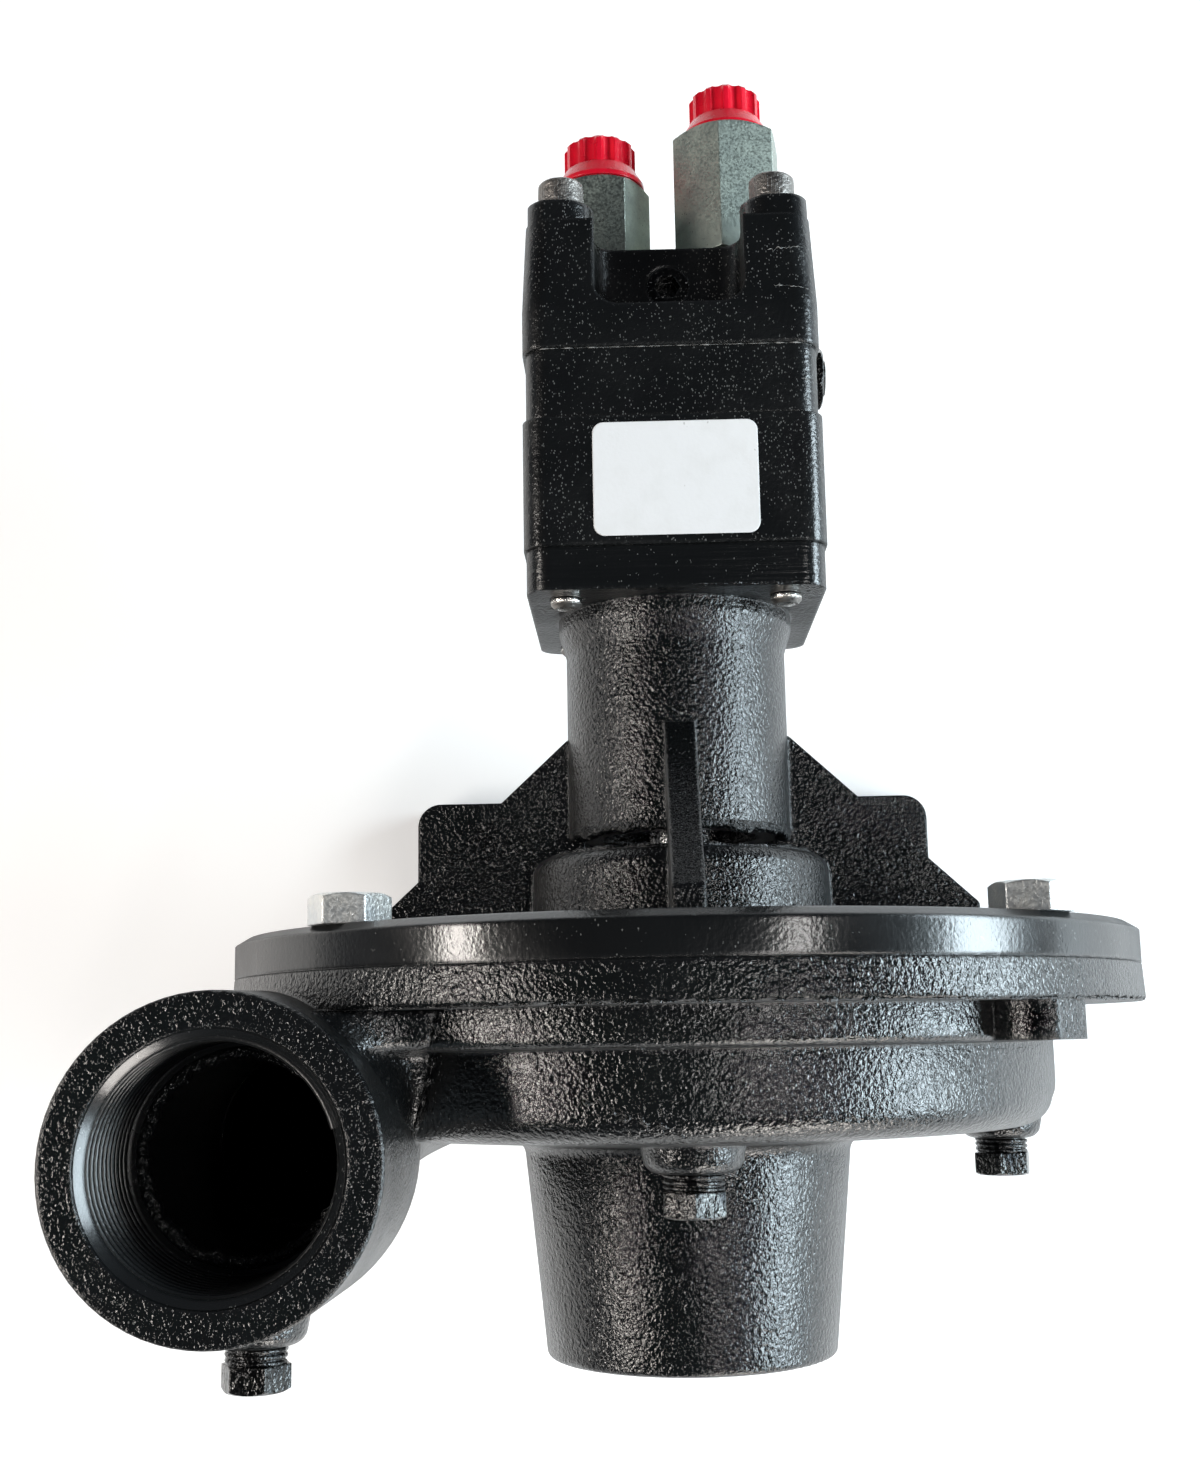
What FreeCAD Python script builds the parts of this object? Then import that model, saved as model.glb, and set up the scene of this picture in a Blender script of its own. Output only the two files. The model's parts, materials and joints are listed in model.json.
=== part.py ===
"""Centrifugal pump driven by a small gerotor oil motor, built as separate pieces.

The shaft lies along Y.  The motor is on the +Y side, the suction inlet faces -Y and the
outlet faces up.  The pump stands on its cast foot.  Every piece is drawn about the shaft
line, with the casing joint at y = 0, and is lifted onto its foot at the end, so that the
origin is the middle of the two foot bolts on the underside of the foot.
Sizes are in millimetres.
"""

import FreeCAD
import Part
import math
import os

# Hexagon ends
hex_face_share = 0.97
hex_chamfer_angle = 30.0

# Main sizes of the pump end
shaft_height = 98.0
rim_radius = 92.3
rim_thick = 7.1
rim_draft = 0.4
rim_top_corner = 0.3
rim_low_corner = 0.8
belt_radius = 80.8
belt_thick = 6.9
belt_corner = 1.8
body_radius = 73.5
body_depth = 30.0
body_corner = 6.0
hub_root_radius = 33.5
hub_root_corner = 3.0
hub_face_radius = 29.1
hub_face_corner = 1.2
suction_reach = 75.1
cast_overlap = 1.0

# Casing bolts and the bosses that take them
casing_bolt_circle = 85.0
casing_bolt_radius = 3.97
casing_bolt_length = 20.5
casing_bolt_flats = 13.0
casing_bolt_head = 5.4
casing_bolt_turns = (25.0, 0.0, 8.0, -17.0)
casing_boss_radius = 8.0
bolt_hole_gap = 0.25

# Volute growth, from the cutwater round to the outlet
cutwater_angle = 130.0
volute_turn = 310.0
volute_shares = (0.0, 0.12, 0.24, 0.36, 0.48, 0.6, 0.7, 0.79, 0.86, 0.92, 0.965, 1.0)
volute_run_on = 2.5
volute_wall = 5.5
volute_start_width = 24.0
throat_radius = 23.0
radial_growth = 3.35
depth_growth = 11.0
inner_growth = 2.0
top_growth = 4.0
corner_growth = 3.0
section_flat = 0.3
passage_step = 0.4
skin_step = 0.8

# Outlet pipe
outlet_x = -78.7
outlet_y = -31.8
outlet_face_height = 83.0
outlet_radius = 28.3
outlet_draft = 0.8
outlet_edge = 0.5
socket_foot = 42.0
socket_foot_corner = 8.0
throat_top = 30.0
throat_top_corner = 10.0
pipe_lead = 8.0
pipe_lead_in = 3.0
outlet_thread_radius = 20.6
outlet_thread_length = 25.5
outlet_cast_radius = 17.8
outlet_chamfer = 1.7

# Suction inlet
inlet_thread_radius = 22.6
inlet_thread_length = 25.0
inlet_cast_radius = 19.5
inlet_chamfer = 1.8
inlet_taper = 3.0
eye_radius = 17.8

# Impeller and the chamber that it turns in
mouth_radius = 70.0
spigot_depth = 3.2
o_ring_section = 0.9
chamber_radius = 66.0
chamber_corner = 2.0
spigot_gap = 0.05
impeller_radius = 60.0
impeller_back_gap = 1.0
shroud_thick = 3.2
tip_width = 8.0
front_slope = 7.0
front_gap = 1.3
eye_ring_radius = 21.2
eye_ring_length = 3.2
wear_gap = 0.3
vane_count = 6
vane_thick = 2.6
vane_angle = 30.0
vane_points = 7
impeller_hub_radius = 11.0
hub_length_past_tip = 2.0

# Cover, collar, lantern and column of the motor bracket
cover_thick = 8.0
cover_band = 1.5
cover_band_radius = 89.4
cover_edge = 0.3
collar_radius = 30.9
collar_height = 16.5
collar_top_wall = 6.0
collar_corner = 3.5
collar_draft = 0.6
collar_root_corner = 2.0
collar_bore_gap = 1.4
lantern_gap = 4.2
column_radius = 23.4
column_bore = 16.5
column_flare = 1.6
column_flare_length = 8.0
column_flare_corner = 3.0
motor_face = 85.0
bracket_flange_thick = 9.0
bracket_flange_half = 30.3
square_corner = 5.0
rib_thick = 6.0
rib_reach = 62.0
rib_end_height = 6.0
rib_top = 50.0
rib_corner = 1.5

# Foot
foot_half_width = 66.8
foot_length = 48.8
foot_thick = 10.0
foot_corner = 6.0
foot_front_corner = 3.0
foot_bolt_half_spacing = 50.0
foot_bolt_from_joint = 28.0
foot_bolt_hole_radius = 5.5
foot_web_thick = 8.0
foot_web_inset = 6.0
foot_web_top_half = 78.0
foot_web_top_height = 50.0
foot_rib_thick = 9.0
foot_rib_top = 62.0
foot_rib_end = 44.0
foot_rib_end_corner = 2.0
foot_rib_top_corner = 4.0

# Shaft, key and impeller nut
shaft_radius = 6.35
running_gap = 0.06
fixed_gap = 0.02
shaft_end_radius = 4.75
nut_flats = 14.3
nut_thick = 7.5
washer_radius = 8.5
washer_thick = 1.6
shaft_tip_past_nut = 1.2
shaft_past_bush = 0.4
key_size = 3.2
impeller_key_length = 9.0
key_from_hub_end = 1.5

# Mechanical seal and slinger
seal_cavity_radius = 18.0
seal_cavity_depth = 12.0
seat_radius = 12.4
seat_cup_thick = 1.1
seat_thick = 6.0
seat_bore_gap = 0.8
seal_face_radius = 10.6
seal_nose_length = 2.2
seal_shell_thick = 2.4
seal_head_length = 4.5
seal_bore_gap = 0.4
seal_gap = 0.03
contact_gap = 0.02
part_gap = 0.05
seal_spring_radius = 12.5
seal_spring_wire = 1.6
seal_spring_turns = 2
seal_bellows_radius = 9.6
bellows_lip = 1.2
bellows_lip_length = 1.6
bellows_slope = 1.0
slinger_radius = 12.0
slinger_thick = 2.5
slinger_sleeve = 2.5
slinger_sleeve_draft = 0.5
slinger_above_lantern = 3.0

# Motor body
body_half = 30.8
motor_body_length = 27.0
pilot_radius = 20.6
pilot_length = 4.8
pilot_gap = 0.05
pilot_end_gap = 0.4
shaft_hole_gap = 0.25
bearing_outer_radius = 14.29
bearing_width = 7.94
bearing_race_thick = 2.1
ball_radius = 2.38
ball_count = 7
ball_gap = 0.08
cage_thick = 1.0
cage_width = 3.0
snap_ring_thick = 1.1
snap_ring_depth = 1.0
snap_ring_width = 2.6
snap_ring_opening = 7.0
lip_seal_width = 6.0
lip_seal_wall = 1.2
lip_seal_start = 0.8
lip_flange = 2.2
lip_slope = 0.6

# Gerotor set
ring_half = 30.1
ring_length = 15.0
inner_teeth = 6
eccentricity = 1.8
lobe_circle = 18.5
lobe_radius = 5.5
tooth_gap = 0.09
arcs_per_tooth = 10
lobe_root_gap = 0.15
outer_rotor_radius = 20.5
rotor_side_gap = 0.08
gerotor_key_length = 11.0
gerotor_key_inset = 2.0
plate_seal_radius = 25.3
plate_seal_section = 0.9
plate_seal_gap = 0.05
dowel_radius = 1.5
dowel_x = 27.0
dowel_z = -14.0
dowel_half_length = 9.0
dowel_end_gap = 0.2

# End cover
cover_half = 30.7
cover_top_half = 29.6
cover_corner_growth = 0.8
end_cover_length = 28.5
boss_height = 4.5
boss_radius = 6.9
boss_drop = 12.0
recess_floor = 9.2
recess_half = 15.6
spine_half = 14.0
recess_corner = 5.0
rear_bush_radius = 9.5
rear_bush_length = 10.0
rear_bush_inset = 0.3
rear_bush_end_gap = 1.0
port_half_spacing = 14.3
port_shank_radius = 7.1
port_shank_length = 12.0
port_passage_radius = 3.6
kidney_depth = 9.0
kidney_inner = 11.6
kidney_outer = 16.4
kidney_half_angle = 58.0

# Motor through bolts
through_bolt_half_spacing = 22.4
through_bolt_radius = 3.17
through_bolt_head_radius = 4.75
through_bolt_head = 6.35
through_bolt_tip = 2.2
through_bolt_tip_chamfer = 0.8
through_bolt_head_chamfer = 0.4
socket_flats = 4.8
socket_depth = 3.2

# Port adapters, caps and the non-return valve
short_adapter_flats = 19.05
short_adapter_length = 20.3
long_adapter_flats = 22.2
long_adapter_length = 31.7
long_adapter_turn = 20.0
adapter_foot_radius = 9.2
adapter_foot_thick = 1.4
port_thread_radius = 6.5
port_thread_length = 12.0
valve_chamber_radius = 5.6
valve_seat_radius = 3.2
valve_seat_height = 5.0
poppet_radius = 5.0
poppet_length = 5.0
poppet_head = 2.0
poppet_nose = 1.5
poppet_nose_gap = 0.2
poppet_nose_taper = 0.4
stem_gap = 0.9
valve_spring_radius = 3.6
valve_spring_wire = 1.0
valve_spring_turns = 3
retainer_thick = 1.5
retainer_hole_radius = 2.5
retainer_gap = 0.1
cap_shank_gap = 0.12
cap_shank_length = 8.0
cap_skirt_radius = 9.9
cap_skirt_height = 4.2
cap_knob_radius = 8.0
cap_knob_height = 6.2
cap_knob_chamfer = 0.7
cap_brim = 1.0
cap_hollow_radius = 4.6
cap_hollow_depth = 4.0
cap_flutes = 12
cap_flute_radius = 1.6
cap_flute_reach = 0.4

# Bypass needle and the small plugs
bypass_above_ring = 6.6
bypass_drop = 8.0
bypass_screw_radius = 3.97
bypass_screw_out = 4.7
bypass_screw_in = 14.0
bypass_nut_flats = 12.7
bypass_nut_thick = 4.1
bypass_socket_flats = 4.0
bypass_socket_depth = 3.0
needle_radius = 2.0
needle_length = 4.0
needle_tip_radius = 0.8
needle_hole_gap = 0.4
needle_rest_gap = 0.5
plug_flats = 11.1
plug_head = 4.7
plug_thread_radius = 5.15
plug_thread_length = 9.0
plug_neck = 3.2
plug_turns = (30.0, 46.0, 4.0)
plug_end_gap = 0.5
plug_boss_radius = 8.6
plug_boss_flare = 1.25
plug_boss_edge = 2.8
plug_boss_root = 3.0
front_plug_height = 45.0
front_boss_end = 36.6
side_plug_x = 69.8
side_plug_height = -28.0
side_boss_end = 35.6
side_boss_radius = 8.0
outlet_plug_height = 45.0
outlet_boss_end = 65.2
socket_plug_radius = 4.5
socket_plug_above_ring = 19.8
socket_plug_depth = 9.0
cut_past = 1.0

# Places along the shaft that follow from the sizes above
collar_top = cover_thick + collar_height
column_start = collar_top + lantern_gap
ring_start = motor_face + motor_body_length
ring_end = ring_start + ring_length
spine_top = ring_end + end_cover_length
boss_top = spine_top + boss_height
body_end = motor_face - bracket_flange_thick
impeller_back = -(spigot_depth + impeller_back_gap)
passage_top = impeller_back - shroud_thick
hub_end = passage_top - tip_width - hub_length_past_tip
tip_front = passage_top - tip_width
eye_front = tip_front - front_slope
chamber_front = eye_front - shroud_thick - front_gap
seat_face = seal_cavity_depth - 0.5
belt_low = rim_thick + belt_thick
outer_race_inner = bearing_outer_radius - bearing_race_thick
inner_race_outer = shaft_radius + bearing_race_thick
ball_circle = (outer_race_inner + inner_race_outer) / 2
lip_seal_place = motor_face - pilot_length + lip_seal_start
snap_start = lip_seal_place + lip_seal_width + 0.8
bearing_start = snap_start + snap_ring_thick + 0.1
bearing_end = bearing_start + bearing_width
gerotor_key_start = ring_start + gerotor_key_inset
impeller_key_start = hub_end + key_from_hub_end
bypass_y = ring_end + bypass_above_ring
socket_plug_y = ring_end + socket_plug_above_ring
short_adapter_top = spine_top + short_adapter_length
long_adapter_top = spine_top + long_adapter_length
valve_seat_y = spine_top + valve_seat_height + 0.05
retainer_start = long_adapter_top - port_thread_length - retainer_thick - retainer_gap

AXIS_Y = FreeCAD.Vector(0, 1, 0)
AXIS_Z = FreeCAD.Vector(0, 0, 1)
AXIS_X = FreeCAD.Vector(1, 0, 0)
ORIGIN = FreeCAD.Vector(0, 0, 0)
SMALL = 1e-6


def vec(x, y, z):
    """A point or direction."""
    return FreeCAD.Vector(x, y, z)


def rounded_loop(points, at):
    """A closed wire through (u, v, corner radius) points, placed in space by at(u, v)."""
    count = len(points)
    corners = []
    for index, (u, v, radius) in enumerate(points):
        here = vec(u, v, 0)
        if radius <= 0:
            corners.append((here, None, here))
            continue
        back = vec(points[index - 1][0], points[index - 1][1], 0) - here
        ahead_point = points[(index + 1) % count]
        ahead = vec(ahead_point[0], ahead_point[1], 0) - here
        back.normalize()
        ahead.normalize()
        half = back.getAngle(ahead) / 2
        middle_way = back + ahead
        middle_way.normalize()
        reach = radius / math.tan(half)
        middle = here + middle_way * (radius / math.sin(half) - radius)
        corners.append((here + back * reach, middle, here + ahead * reach))
    edges = []
    for index, (start, middle, end) in enumerate(corners):
        if middle is not None:
            ends = [at(point.x, point.y) for point in (start, middle, end)]
            edges.append(Part.Arc(*ends).toShape())
        following = corners[(index + 1) % count][0]
        if (following - end).Length > SMALL:
            edges.append(Part.LineSegment(at(end.x, end.y), at(following.x, following.y)).toShape())
    return Part.Wire(edges)


def on_xy(u, v):
    """The plane of a turned profile: u is the radius and v is the place along the shaft."""
    return vec(u, v, 0)


def turned(points):
    """A solid turned about the shaft line from (radius, y, corner radius) points."""
    face = Part.Face(rounded_loop(points, on_xy))
    return face.revolve(ORIGIN, AXIS_Y, 360)


def ring(outer, inner, start, end):
    """A plain ring about the shaft line."""
    return turned([(inner, start, 0), (outer, start, 0), (outer, end, 0), (inner, end, 0)])


def rod(radius, start, length, direction):
    """A round bar from a start point."""
    return Part.makeCylinder(radius, length, start, direction)


def rod_y(radius, start, end, x=0.0, z=0.0):
    """A round bar along the shaft direction."""
    return rod(radius, vec(x, min(start, end), z), abs(end - start), AXIS_Y)


def prism(points, at, direction):
    """A solid swept along a direction from (u, v, corner radius) points."""
    return Part.Face(rounded_loop(points, at)).extrude(direction)


def square_points(half, corner):
    """The four corners of a rounded square."""
    return [(-half, -half, corner), (half, -half, corner), (half, half, corner), (-half, half, corner)]


def square_block(half, start, end, corner):
    """A square block about the shaft line, its four long edges rounded."""
    return prism(square_points(half, corner), lambda u, v: vec(u, start, v), vec(0, end - start, 0))


def hex_bar(flats, start, length, direction, turn=0.0):
    """A hexagonal bar with a chamfered far end.  With turn 0 a corner faces +X."""
    corner = flats / math.sqrt(3)
    base = []
    for side in range(6):
        angle = math.radians(60 * side + turn)
        base.append(vec(corner * math.cos(angle), corner * math.sin(angle), 0))
    bar = Part.Face(Part.makePolygon(base + [base[0]])).extrude(vec(0, 0, length))
    face_radius = flats / 2 * hex_face_share
    slope = math.tan(math.radians(hex_chamfer_angle))
    bar = bar.common(Part.makeCone(face_radius + length / slope, face_radius, length))
    bar.Placement = FreeCAD.Placement(start, FreeCAD.Rotation(AXIS_Z, direction))
    return bar


def joined(*shapes):
    """One solid from several that overlap."""
    whole = shapes[0].fuse(list(shapes[1:]))
    return whole.removeSplitter()


def filled(whole):
    """The same solid without the closed pockets left where rounded forms meet."""
    return Part.makeSolid(whole.Solids[0].OuterShell)


def group(solids):
    """Like pieces kept apart in one node."""
    return Part.makeCompound(list(solids))


def casing_bolt_places():
    """The four casing bolts, at 45 degrees to the foot."""
    reach = casing_bolt_circle / math.sqrt(2)
    return [(sx * reach, sz * reach) for sx in (-1, 1) for sz in (-1, 1)]


def through_bolt_places():
    """The four bolts that clamp the motor to its bracket."""
    half = through_bolt_half_spacing
    return [(sx * half, sz * half) for sx in (-1, 1) for sz in (-1, 1)]


# Volute casing

def volute_section(share, inner, outer, top, low, corner):
    """One closed section of the volute, at a share of its turn from the cutwater."""
    angle = math.radians(cutwater_angle - volute_turn * share)
    largest = min(outer - inner, top - low) / 2 - section_flat
    corner = min(corner, largest)
    points = [(inner, low, corner), (outer, low, corner), (outer, top, corner), (inner, top, corner)]
    return rounded_loop(points, lambda u, v: vec(u * math.cos(angle), v, u * math.sin(angle)))


def grown(start, end, share, power):
    """A size that grows slowly at first and faster towards the outlet."""
    return start + (end - start) * min(share, 1.0) ** power


def volute_places():
    """The shares of the turn that get a section, the last one a little way up the outlet pipe."""
    return volute_shares + (1 + volute_run_on / volute_turn,)


def volute_shell():
    """The outside of the spiral, which grows out of the round body."""
    sections = []
    for share in volute_places():
        sections.append(volute_section(
            share,
            grown(body_radius - volute_start_width, -outlet_x - throat_radius, share, inner_growth),
            grown(body_radius - skin_step / 2, -outlet_x + throat_radius, share, radial_growth),
            grown(-rim_thick + cast_overlap, outlet_y + throat_radius, share, top_growth),
            grown(-body_depth + skin_step, outlet_y - throat_radius, share, depth_growth),
            grown(body_corner, throat_radius - section_flat, share, corner_growth)))
    return Part.makeLoft(sections, True, False)


def volute_passage():
    """The water passage inside the spiral, which ends just inside the outlet bore."""
    half = outlet_cast_radius - passage_step
    sections = []
    for share in volute_places():
        sections.append(volute_section(
            share,
            grown(impeller_radius - hub_length_past_tip, -outlet_x - half, share, inner_growth),
            grown(body_radius - volute_wall, -outlet_x + half, share, radial_growth),
            grown(-spigot_depth - passage_step, outlet_y + half, share, top_growth),
            grown(-body_depth + volute_wall, outlet_y - half, share, depth_growth),
            grown(volute_wall - cast_overlap, half - section_flat, share, corner_growth)))
    return Part.makeLoft(sections, True, False)


def casing_body():
    """The round body with its rim, belt and suction hub, before it is hollowed."""
    return turned([
        (0, 0, 0),
        (rim_radius - rim_draft, 0, rim_top_corner),
        (rim_radius, -rim_thick, rim_low_corner),
        (belt_radius, -rim_thick, 0),
        (belt_radius, -belt_low, belt_corner),
        (body_radius, -belt_low - passage_step, 0),
        (body_radius, -body_depth, body_corner),
        (hub_root_radius, -body_depth - hub_root_corner, hub_root_corner),
        (hub_face_radius, -suction_reach, hub_face_corner),
        (0, -suction_reach, 0)])


def outlet_pipe():
    """The upright pipe: it tapers out of the end of the spiral and widens to the threaded socket."""
    side = [(0, -pipe_lead, 0),
            (throat_radius - pipe_lead_in, -pipe_lead, 0),
            (throat_radius, pipe_lead / 2, 0),
            (throat_radius, throat_top, throat_top_corner),
            (outlet_radius + outlet_draft, socket_foot, socket_foot_corner),
            (outlet_radius, outlet_face_height, outlet_edge),
            (0, outlet_face_height, 0)]
    face = Part.Face(rounded_loop(side, lambda u, v: vec(u, 0, v)))
    pipe = face.revolve(ORIGIN, AXIS_Z, 360)
    pipe.translate(vec(outlet_x, outlet_y, 0))
    return pipe


def plug_boss(x, z, radius, start, end):
    """A cast boss that faces -Y and carries a small plug."""
    shape = Part.makeCone(radius, radius * plug_boss_flare, end - start, vec(x, -end, z), AXIS_Y)
    edge = [e for e in shape.Edges if abs(e.BoundBox.YMax + end) < SMALL and e.Length > radius * 5]
    return shape.makeFillet(plug_boss_edge, edge)


def chamber():
    """The impeller chamber and the suction bore, as one turned hollow."""
    ring_bore = eye_ring_radius + wear_gap
    thread_end = -suction_reach + inlet_thread_length
    return turned([
        (0, cut_past, 0),
        (mouth_radius + fixed_gap, cut_past, 0),
        (mouth_radius + fixed_gap, -spigot_depth - spigot_gap, 0),
        (chamber_radius, -spigot_depth - spigot_gap, 0),
        (chamber_radius, tip_front - shroud_thick - front_gap, chamber_corner),
        (ring_bore + chamber_corner, chamber_front, 0),
        (ring_bore, chamber_front, 0),
        (ring_bore, chamber_front - eye_ring_length, 0),
        (eye_radius, chamber_front - eye_ring_length, 0),
        (inlet_cast_radius, thread_end + inlet_taper, 0),
        (inlet_thread_radius, thread_end, 0),
        (inlet_thread_radius, -suction_reach + inlet_chamfer, 0),
        (inlet_thread_radius + inlet_chamfer + cut_past, -suction_reach - cut_past, 0),
        (0, -suction_reach - cut_past, 0)])


def outlet_bore():
    """The threaded mouth of the outlet and the cast bore under it."""
    face = outlet_face_height
    thread_end = face - outlet_thread_length
    cast = rod(outlet_cast_radius, vec(outlet_x, outlet_y, 0), face, AXIS_Z)
    thread = rod(outlet_thread_radius, vec(outlet_x, outlet_y, thread_end),
                 outlet_thread_length + cut_past, AXIS_Z)
    depth = outlet_chamfer + cut_past
    mouth = Part.makeCone(outlet_thread_radius, outlet_thread_radius + depth, depth,
                          vec(outlet_x, outlet_y, face - outlet_chamfer), AXIS_Z)
    return cast, thread, mouth


def volute_casing():
    """The cast casing: rim, belt, spiral, outlet pipe, suction hub and plug bosses."""
    bosses = []
    for x, z in casing_bolt_places():
        bosses.append(rod_y(casing_boss_radius, -cast_overlap, -belt_low, x, z))
    boss_ring = group(bosses).common(rod_y(rim_radius - rim_draft, 0, -belt_low - cut_past))
    solid = filled(joined(
        casing_body(), boss_ring, volute_shell(), outlet_pipe(),
        plug_boss(0, front_plug_height, plug_boss_radius, body_depth - plug_boss_root, front_boss_end),
        plug_boss(side_plug_x, side_plug_height, side_boss_radius,
                  body_depth - plug_boss_root, side_boss_end),
        plug_boss(outlet_x, outlet_plug_height, plug_boss_radius,
                  outlet_radius - outlet_y - 2 * plug_boss_root, outlet_boss_end)))
    holes = [chamber(), volute_passage()]
    holes.extend(outlet_bore())
    for x, z in casing_bolt_places():
        holes.append(rod_y(casing_bolt_radius + fixed_gap, cut_past, -belt_low - cut_past, x, z))
    for x, z, end in plug_places():
        holes.append(rod_y(plug_thread_radius + fixed_gap, -end - cut_past,
                           -end + plug_thread_length + plug_end_gap, x, z))
    return solid.cut(holes)


def plug_places():
    """Where the three hexagon plugs sit: x, z and the depth of the boss face."""
    return [(0, front_plug_height, front_boss_end),
            (side_plug_x, side_plug_height, side_boss_end),
            (outlet_x, outlet_plug_height, outlet_boss_end)]


def hex_plug(x, z, boss_end, turn):
    """A pipe plug with a hexagon head, screwed up into its boss."""
    head = hex_bar(plug_flats, vec(x, -boss_end - plug_neck, z), plug_head, -AXIS_Y, turn)
    head_face = -boss_end - plug_neck
    thread = rod_y(plug_thread_radius, head_face - cast_overlap, head_face + plug_thread_length, x, z)
    return joined(head, thread)


# Casing joint

def casing_o_ring():
    """The soft ring that seals the cover's spigot in the casing mouth."""
    centre = vec(mouth_radius - o_ring_section, -spigot_depth / 2, 0)
    section = Part.Wire(Part.makeCircle(o_ring_section - fixed_gap, centre, AXIS_Z))
    return Part.Face(section).revolve(ORIGIN, AXIS_Y, 360)


def casing_o_ring_groove():
    """The groove round the spigot that the casing ring lies in."""
    bottom = mouth_radius - 2 * o_ring_section - fixed_gap
    middle = -spigot_depth / 2
    return ring(mouth_radius + cut_past, bottom, middle - o_ring_section, middle + o_ring_section)


def casing_bolts():
    """Hexagon bolts through the cover into the casing bosses."""
    solids = []
    for (x, z), turn in zip(casing_bolt_places(), casing_bolt_turns):
        head = hex_bar(casing_bolt_flats, vec(x, cover_thick, z), casing_bolt_head, AXIS_Y, turn)
        shank = rod_y(casing_bolt_radius, cover_thick + cast_overlap, cover_thick - casing_bolt_length, x, z)
        solids.append(joined(head, shank))
    return group(solids)


# Motor bracket

def bracket_cover():
    """The round cover with its spigot, seal chamber and collar."""
    cup_bore = seat_radius + seat_cup_thick + contact_gap
    shaft_hole = shaft_radius + collar_bore_gap
    cup_end = collar_top - collar_top_wall
    return turned([
        (seal_cavity_radius, -spigot_depth, 0),
        (mouth_radius, -spigot_depth, cover_edge),
        (mouth_radius, 0, 0),
        (rim_radius - rim_draft, 0, cover_edge),
        (rim_radius - rim_draft, cover_thick - cover_band, cover_edge),
        (cover_band_radius, cover_thick, 0),
        (collar_radius + collar_draft, cover_thick, collar_root_corner),
        (collar_radius, collar_top, collar_corner),
        (shaft_hole, collar_top, 0),
        (shaft_hole, cup_end, 0),
        (cup_bore, cup_end, 0),
        (cup_bore, seal_cavity_depth, 0),
        (seal_cavity_radius, seal_cavity_depth, 0)])


def bracket_column():
    """The hollow column between the lantern gap and the motor flange."""
    flare = column_radius + column_flare
    return turned([
        (column_bore, column_start, 0.6),
        (column_radius, column_start, 1.2),
        (column_radius, body_end - column_flare_length, column_flare_corner),
        (flare, body_end - column_flare_corner, column_flare),
        (flare, body_end + cast_overlap, 0),
        (column_bore, body_end + cast_overlap, 0)])


def rib(turn):
    """One thin rib from the cover up to the column."""
    inner = (column_bore + column_radius) / 2
    foot_y = cover_thick - cast_overlap
    points = [(inner, foot_y, 0), (rib_reach, foot_y, 0),
              (rib_reach, cover_thick + rib_end_height, rib_corner), (column_radius, rib_top, rib_corner),
              (inner, rib_top, 0)]
    shape = prism(points, lambda u, v: vec(u, v, -rib_thick / 2), vec(0, 0, rib_thick))
    shape.rotate(ORIGIN, AXIS_Y, turn)
    return shape


def foot():
    """The foot plate, its web under the cover and the rib under the column."""
    low = -shaft_height
    top = low + foot_thick - cast_overlap
    web_half = foot_half_width - foot_web_inset
    web_top = low + foot_web_top_height
    plate = prism([(-foot_half_width, 0, foot_front_corner), (foot_half_width, 0, foot_front_corner),
                   (foot_half_width, foot_length, foot_corner), (-foot_half_width, foot_length, foot_corner)],
                  lambda u, v: vec(u, v, low), vec(0, 0, foot_thick))
    web = prism([(-web_half, top, 0), (web_half, top, 0),
                 (foot_web_top_half, web_top, 0), (-foot_web_top_half, web_top, 0)],
                lambda u, v: vec(u, 0, v), vec(0, foot_web_thick, 0))
    inner = -(column_bore + column_radius) / 2
    rib_foot = cover_thick - cast_overlap
    post = prism([(inner, rib_foot, 0), (top, rib_foot, 0), (top, foot_rib_end, foot_rib_end_corner),
                  (-column_radius, foot_rib_top, foot_rib_top_corner), (inner, foot_rib_top, 0)],
                 lambda u, v: vec(-foot_rib_thick / 2, v, u), vec(foot_rib_thick, 0, 0))
    return plate, web, post


def motor_bracket():
    """The cast bracket: pump cover, collar, column, ribs, foot and motor flange."""
    flange = square_block(bracket_flange_half, body_end, motor_face, square_corner)
    solid = joined(bracket_cover(), bracket_column(), flange, rib(0), rib(-90), rib(180), *foot())
    past_face = motor_face + cut_past
    holes = [rod_y(column_bore, column_start + cast_overlap, past_face),
             rod_y(pilot_radius + pilot_gap, motor_face - pilot_length - pilot_end_gap, past_face)]
    for x, z in casing_bolt_places():
        holes.append(rod_y(casing_bolt_radius + bolt_hole_gap, -cut_past, cover_thick + cut_past, x, z))
    for x, z in through_bolt_places():
        holes.append(rod_y(through_bolt_radius + fixed_gap, body_end - cut_past, past_face, x, z))
    for side in (-1, 1):
        place = vec(side * foot_bolt_half_spacing, foot_bolt_from_joint, -shaft_height - cut_past)
        holes.append(rod(foot_bolt_hole_radius, place, foot_thick + 2 * cut_past, AXIS_Z))
    return solid.cut(holes + [casing_o_ring_groove()])


# Shaft and what turns with it

def motor_shaft():
    """The motor shaft, which runs on through the seal to the impeller."""
    rear = ring_end + rear_bush_length + shaft_past_bush
    body = rod_y(shaft_radius, hub_end, rear)
    tip_end = hub_end - washer_thick - nut_thick - shaft_tip_past_nut
    tip = rod_y(shaft_end_radius, hub_end + cast_overlap, tip_end)
    whole = joined(body, tip)
    keyways = [key_block(impeller_key_start, impeller_key_length),
               key_block(gerotor_key_start, gerotor_key_length)]
    return whole.cut(keyways)


def key_block(start, length, gap=0.0):
    """A square key, half in the shaft and half in the piece that it drives."""
    half = key_size / 2 + gap
    height = shaft_radius - key_size / 2
    return Part.makeBox(2 * half, length + 2 * gap, key_size + gap, vec(-half, start - gap, height))


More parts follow.
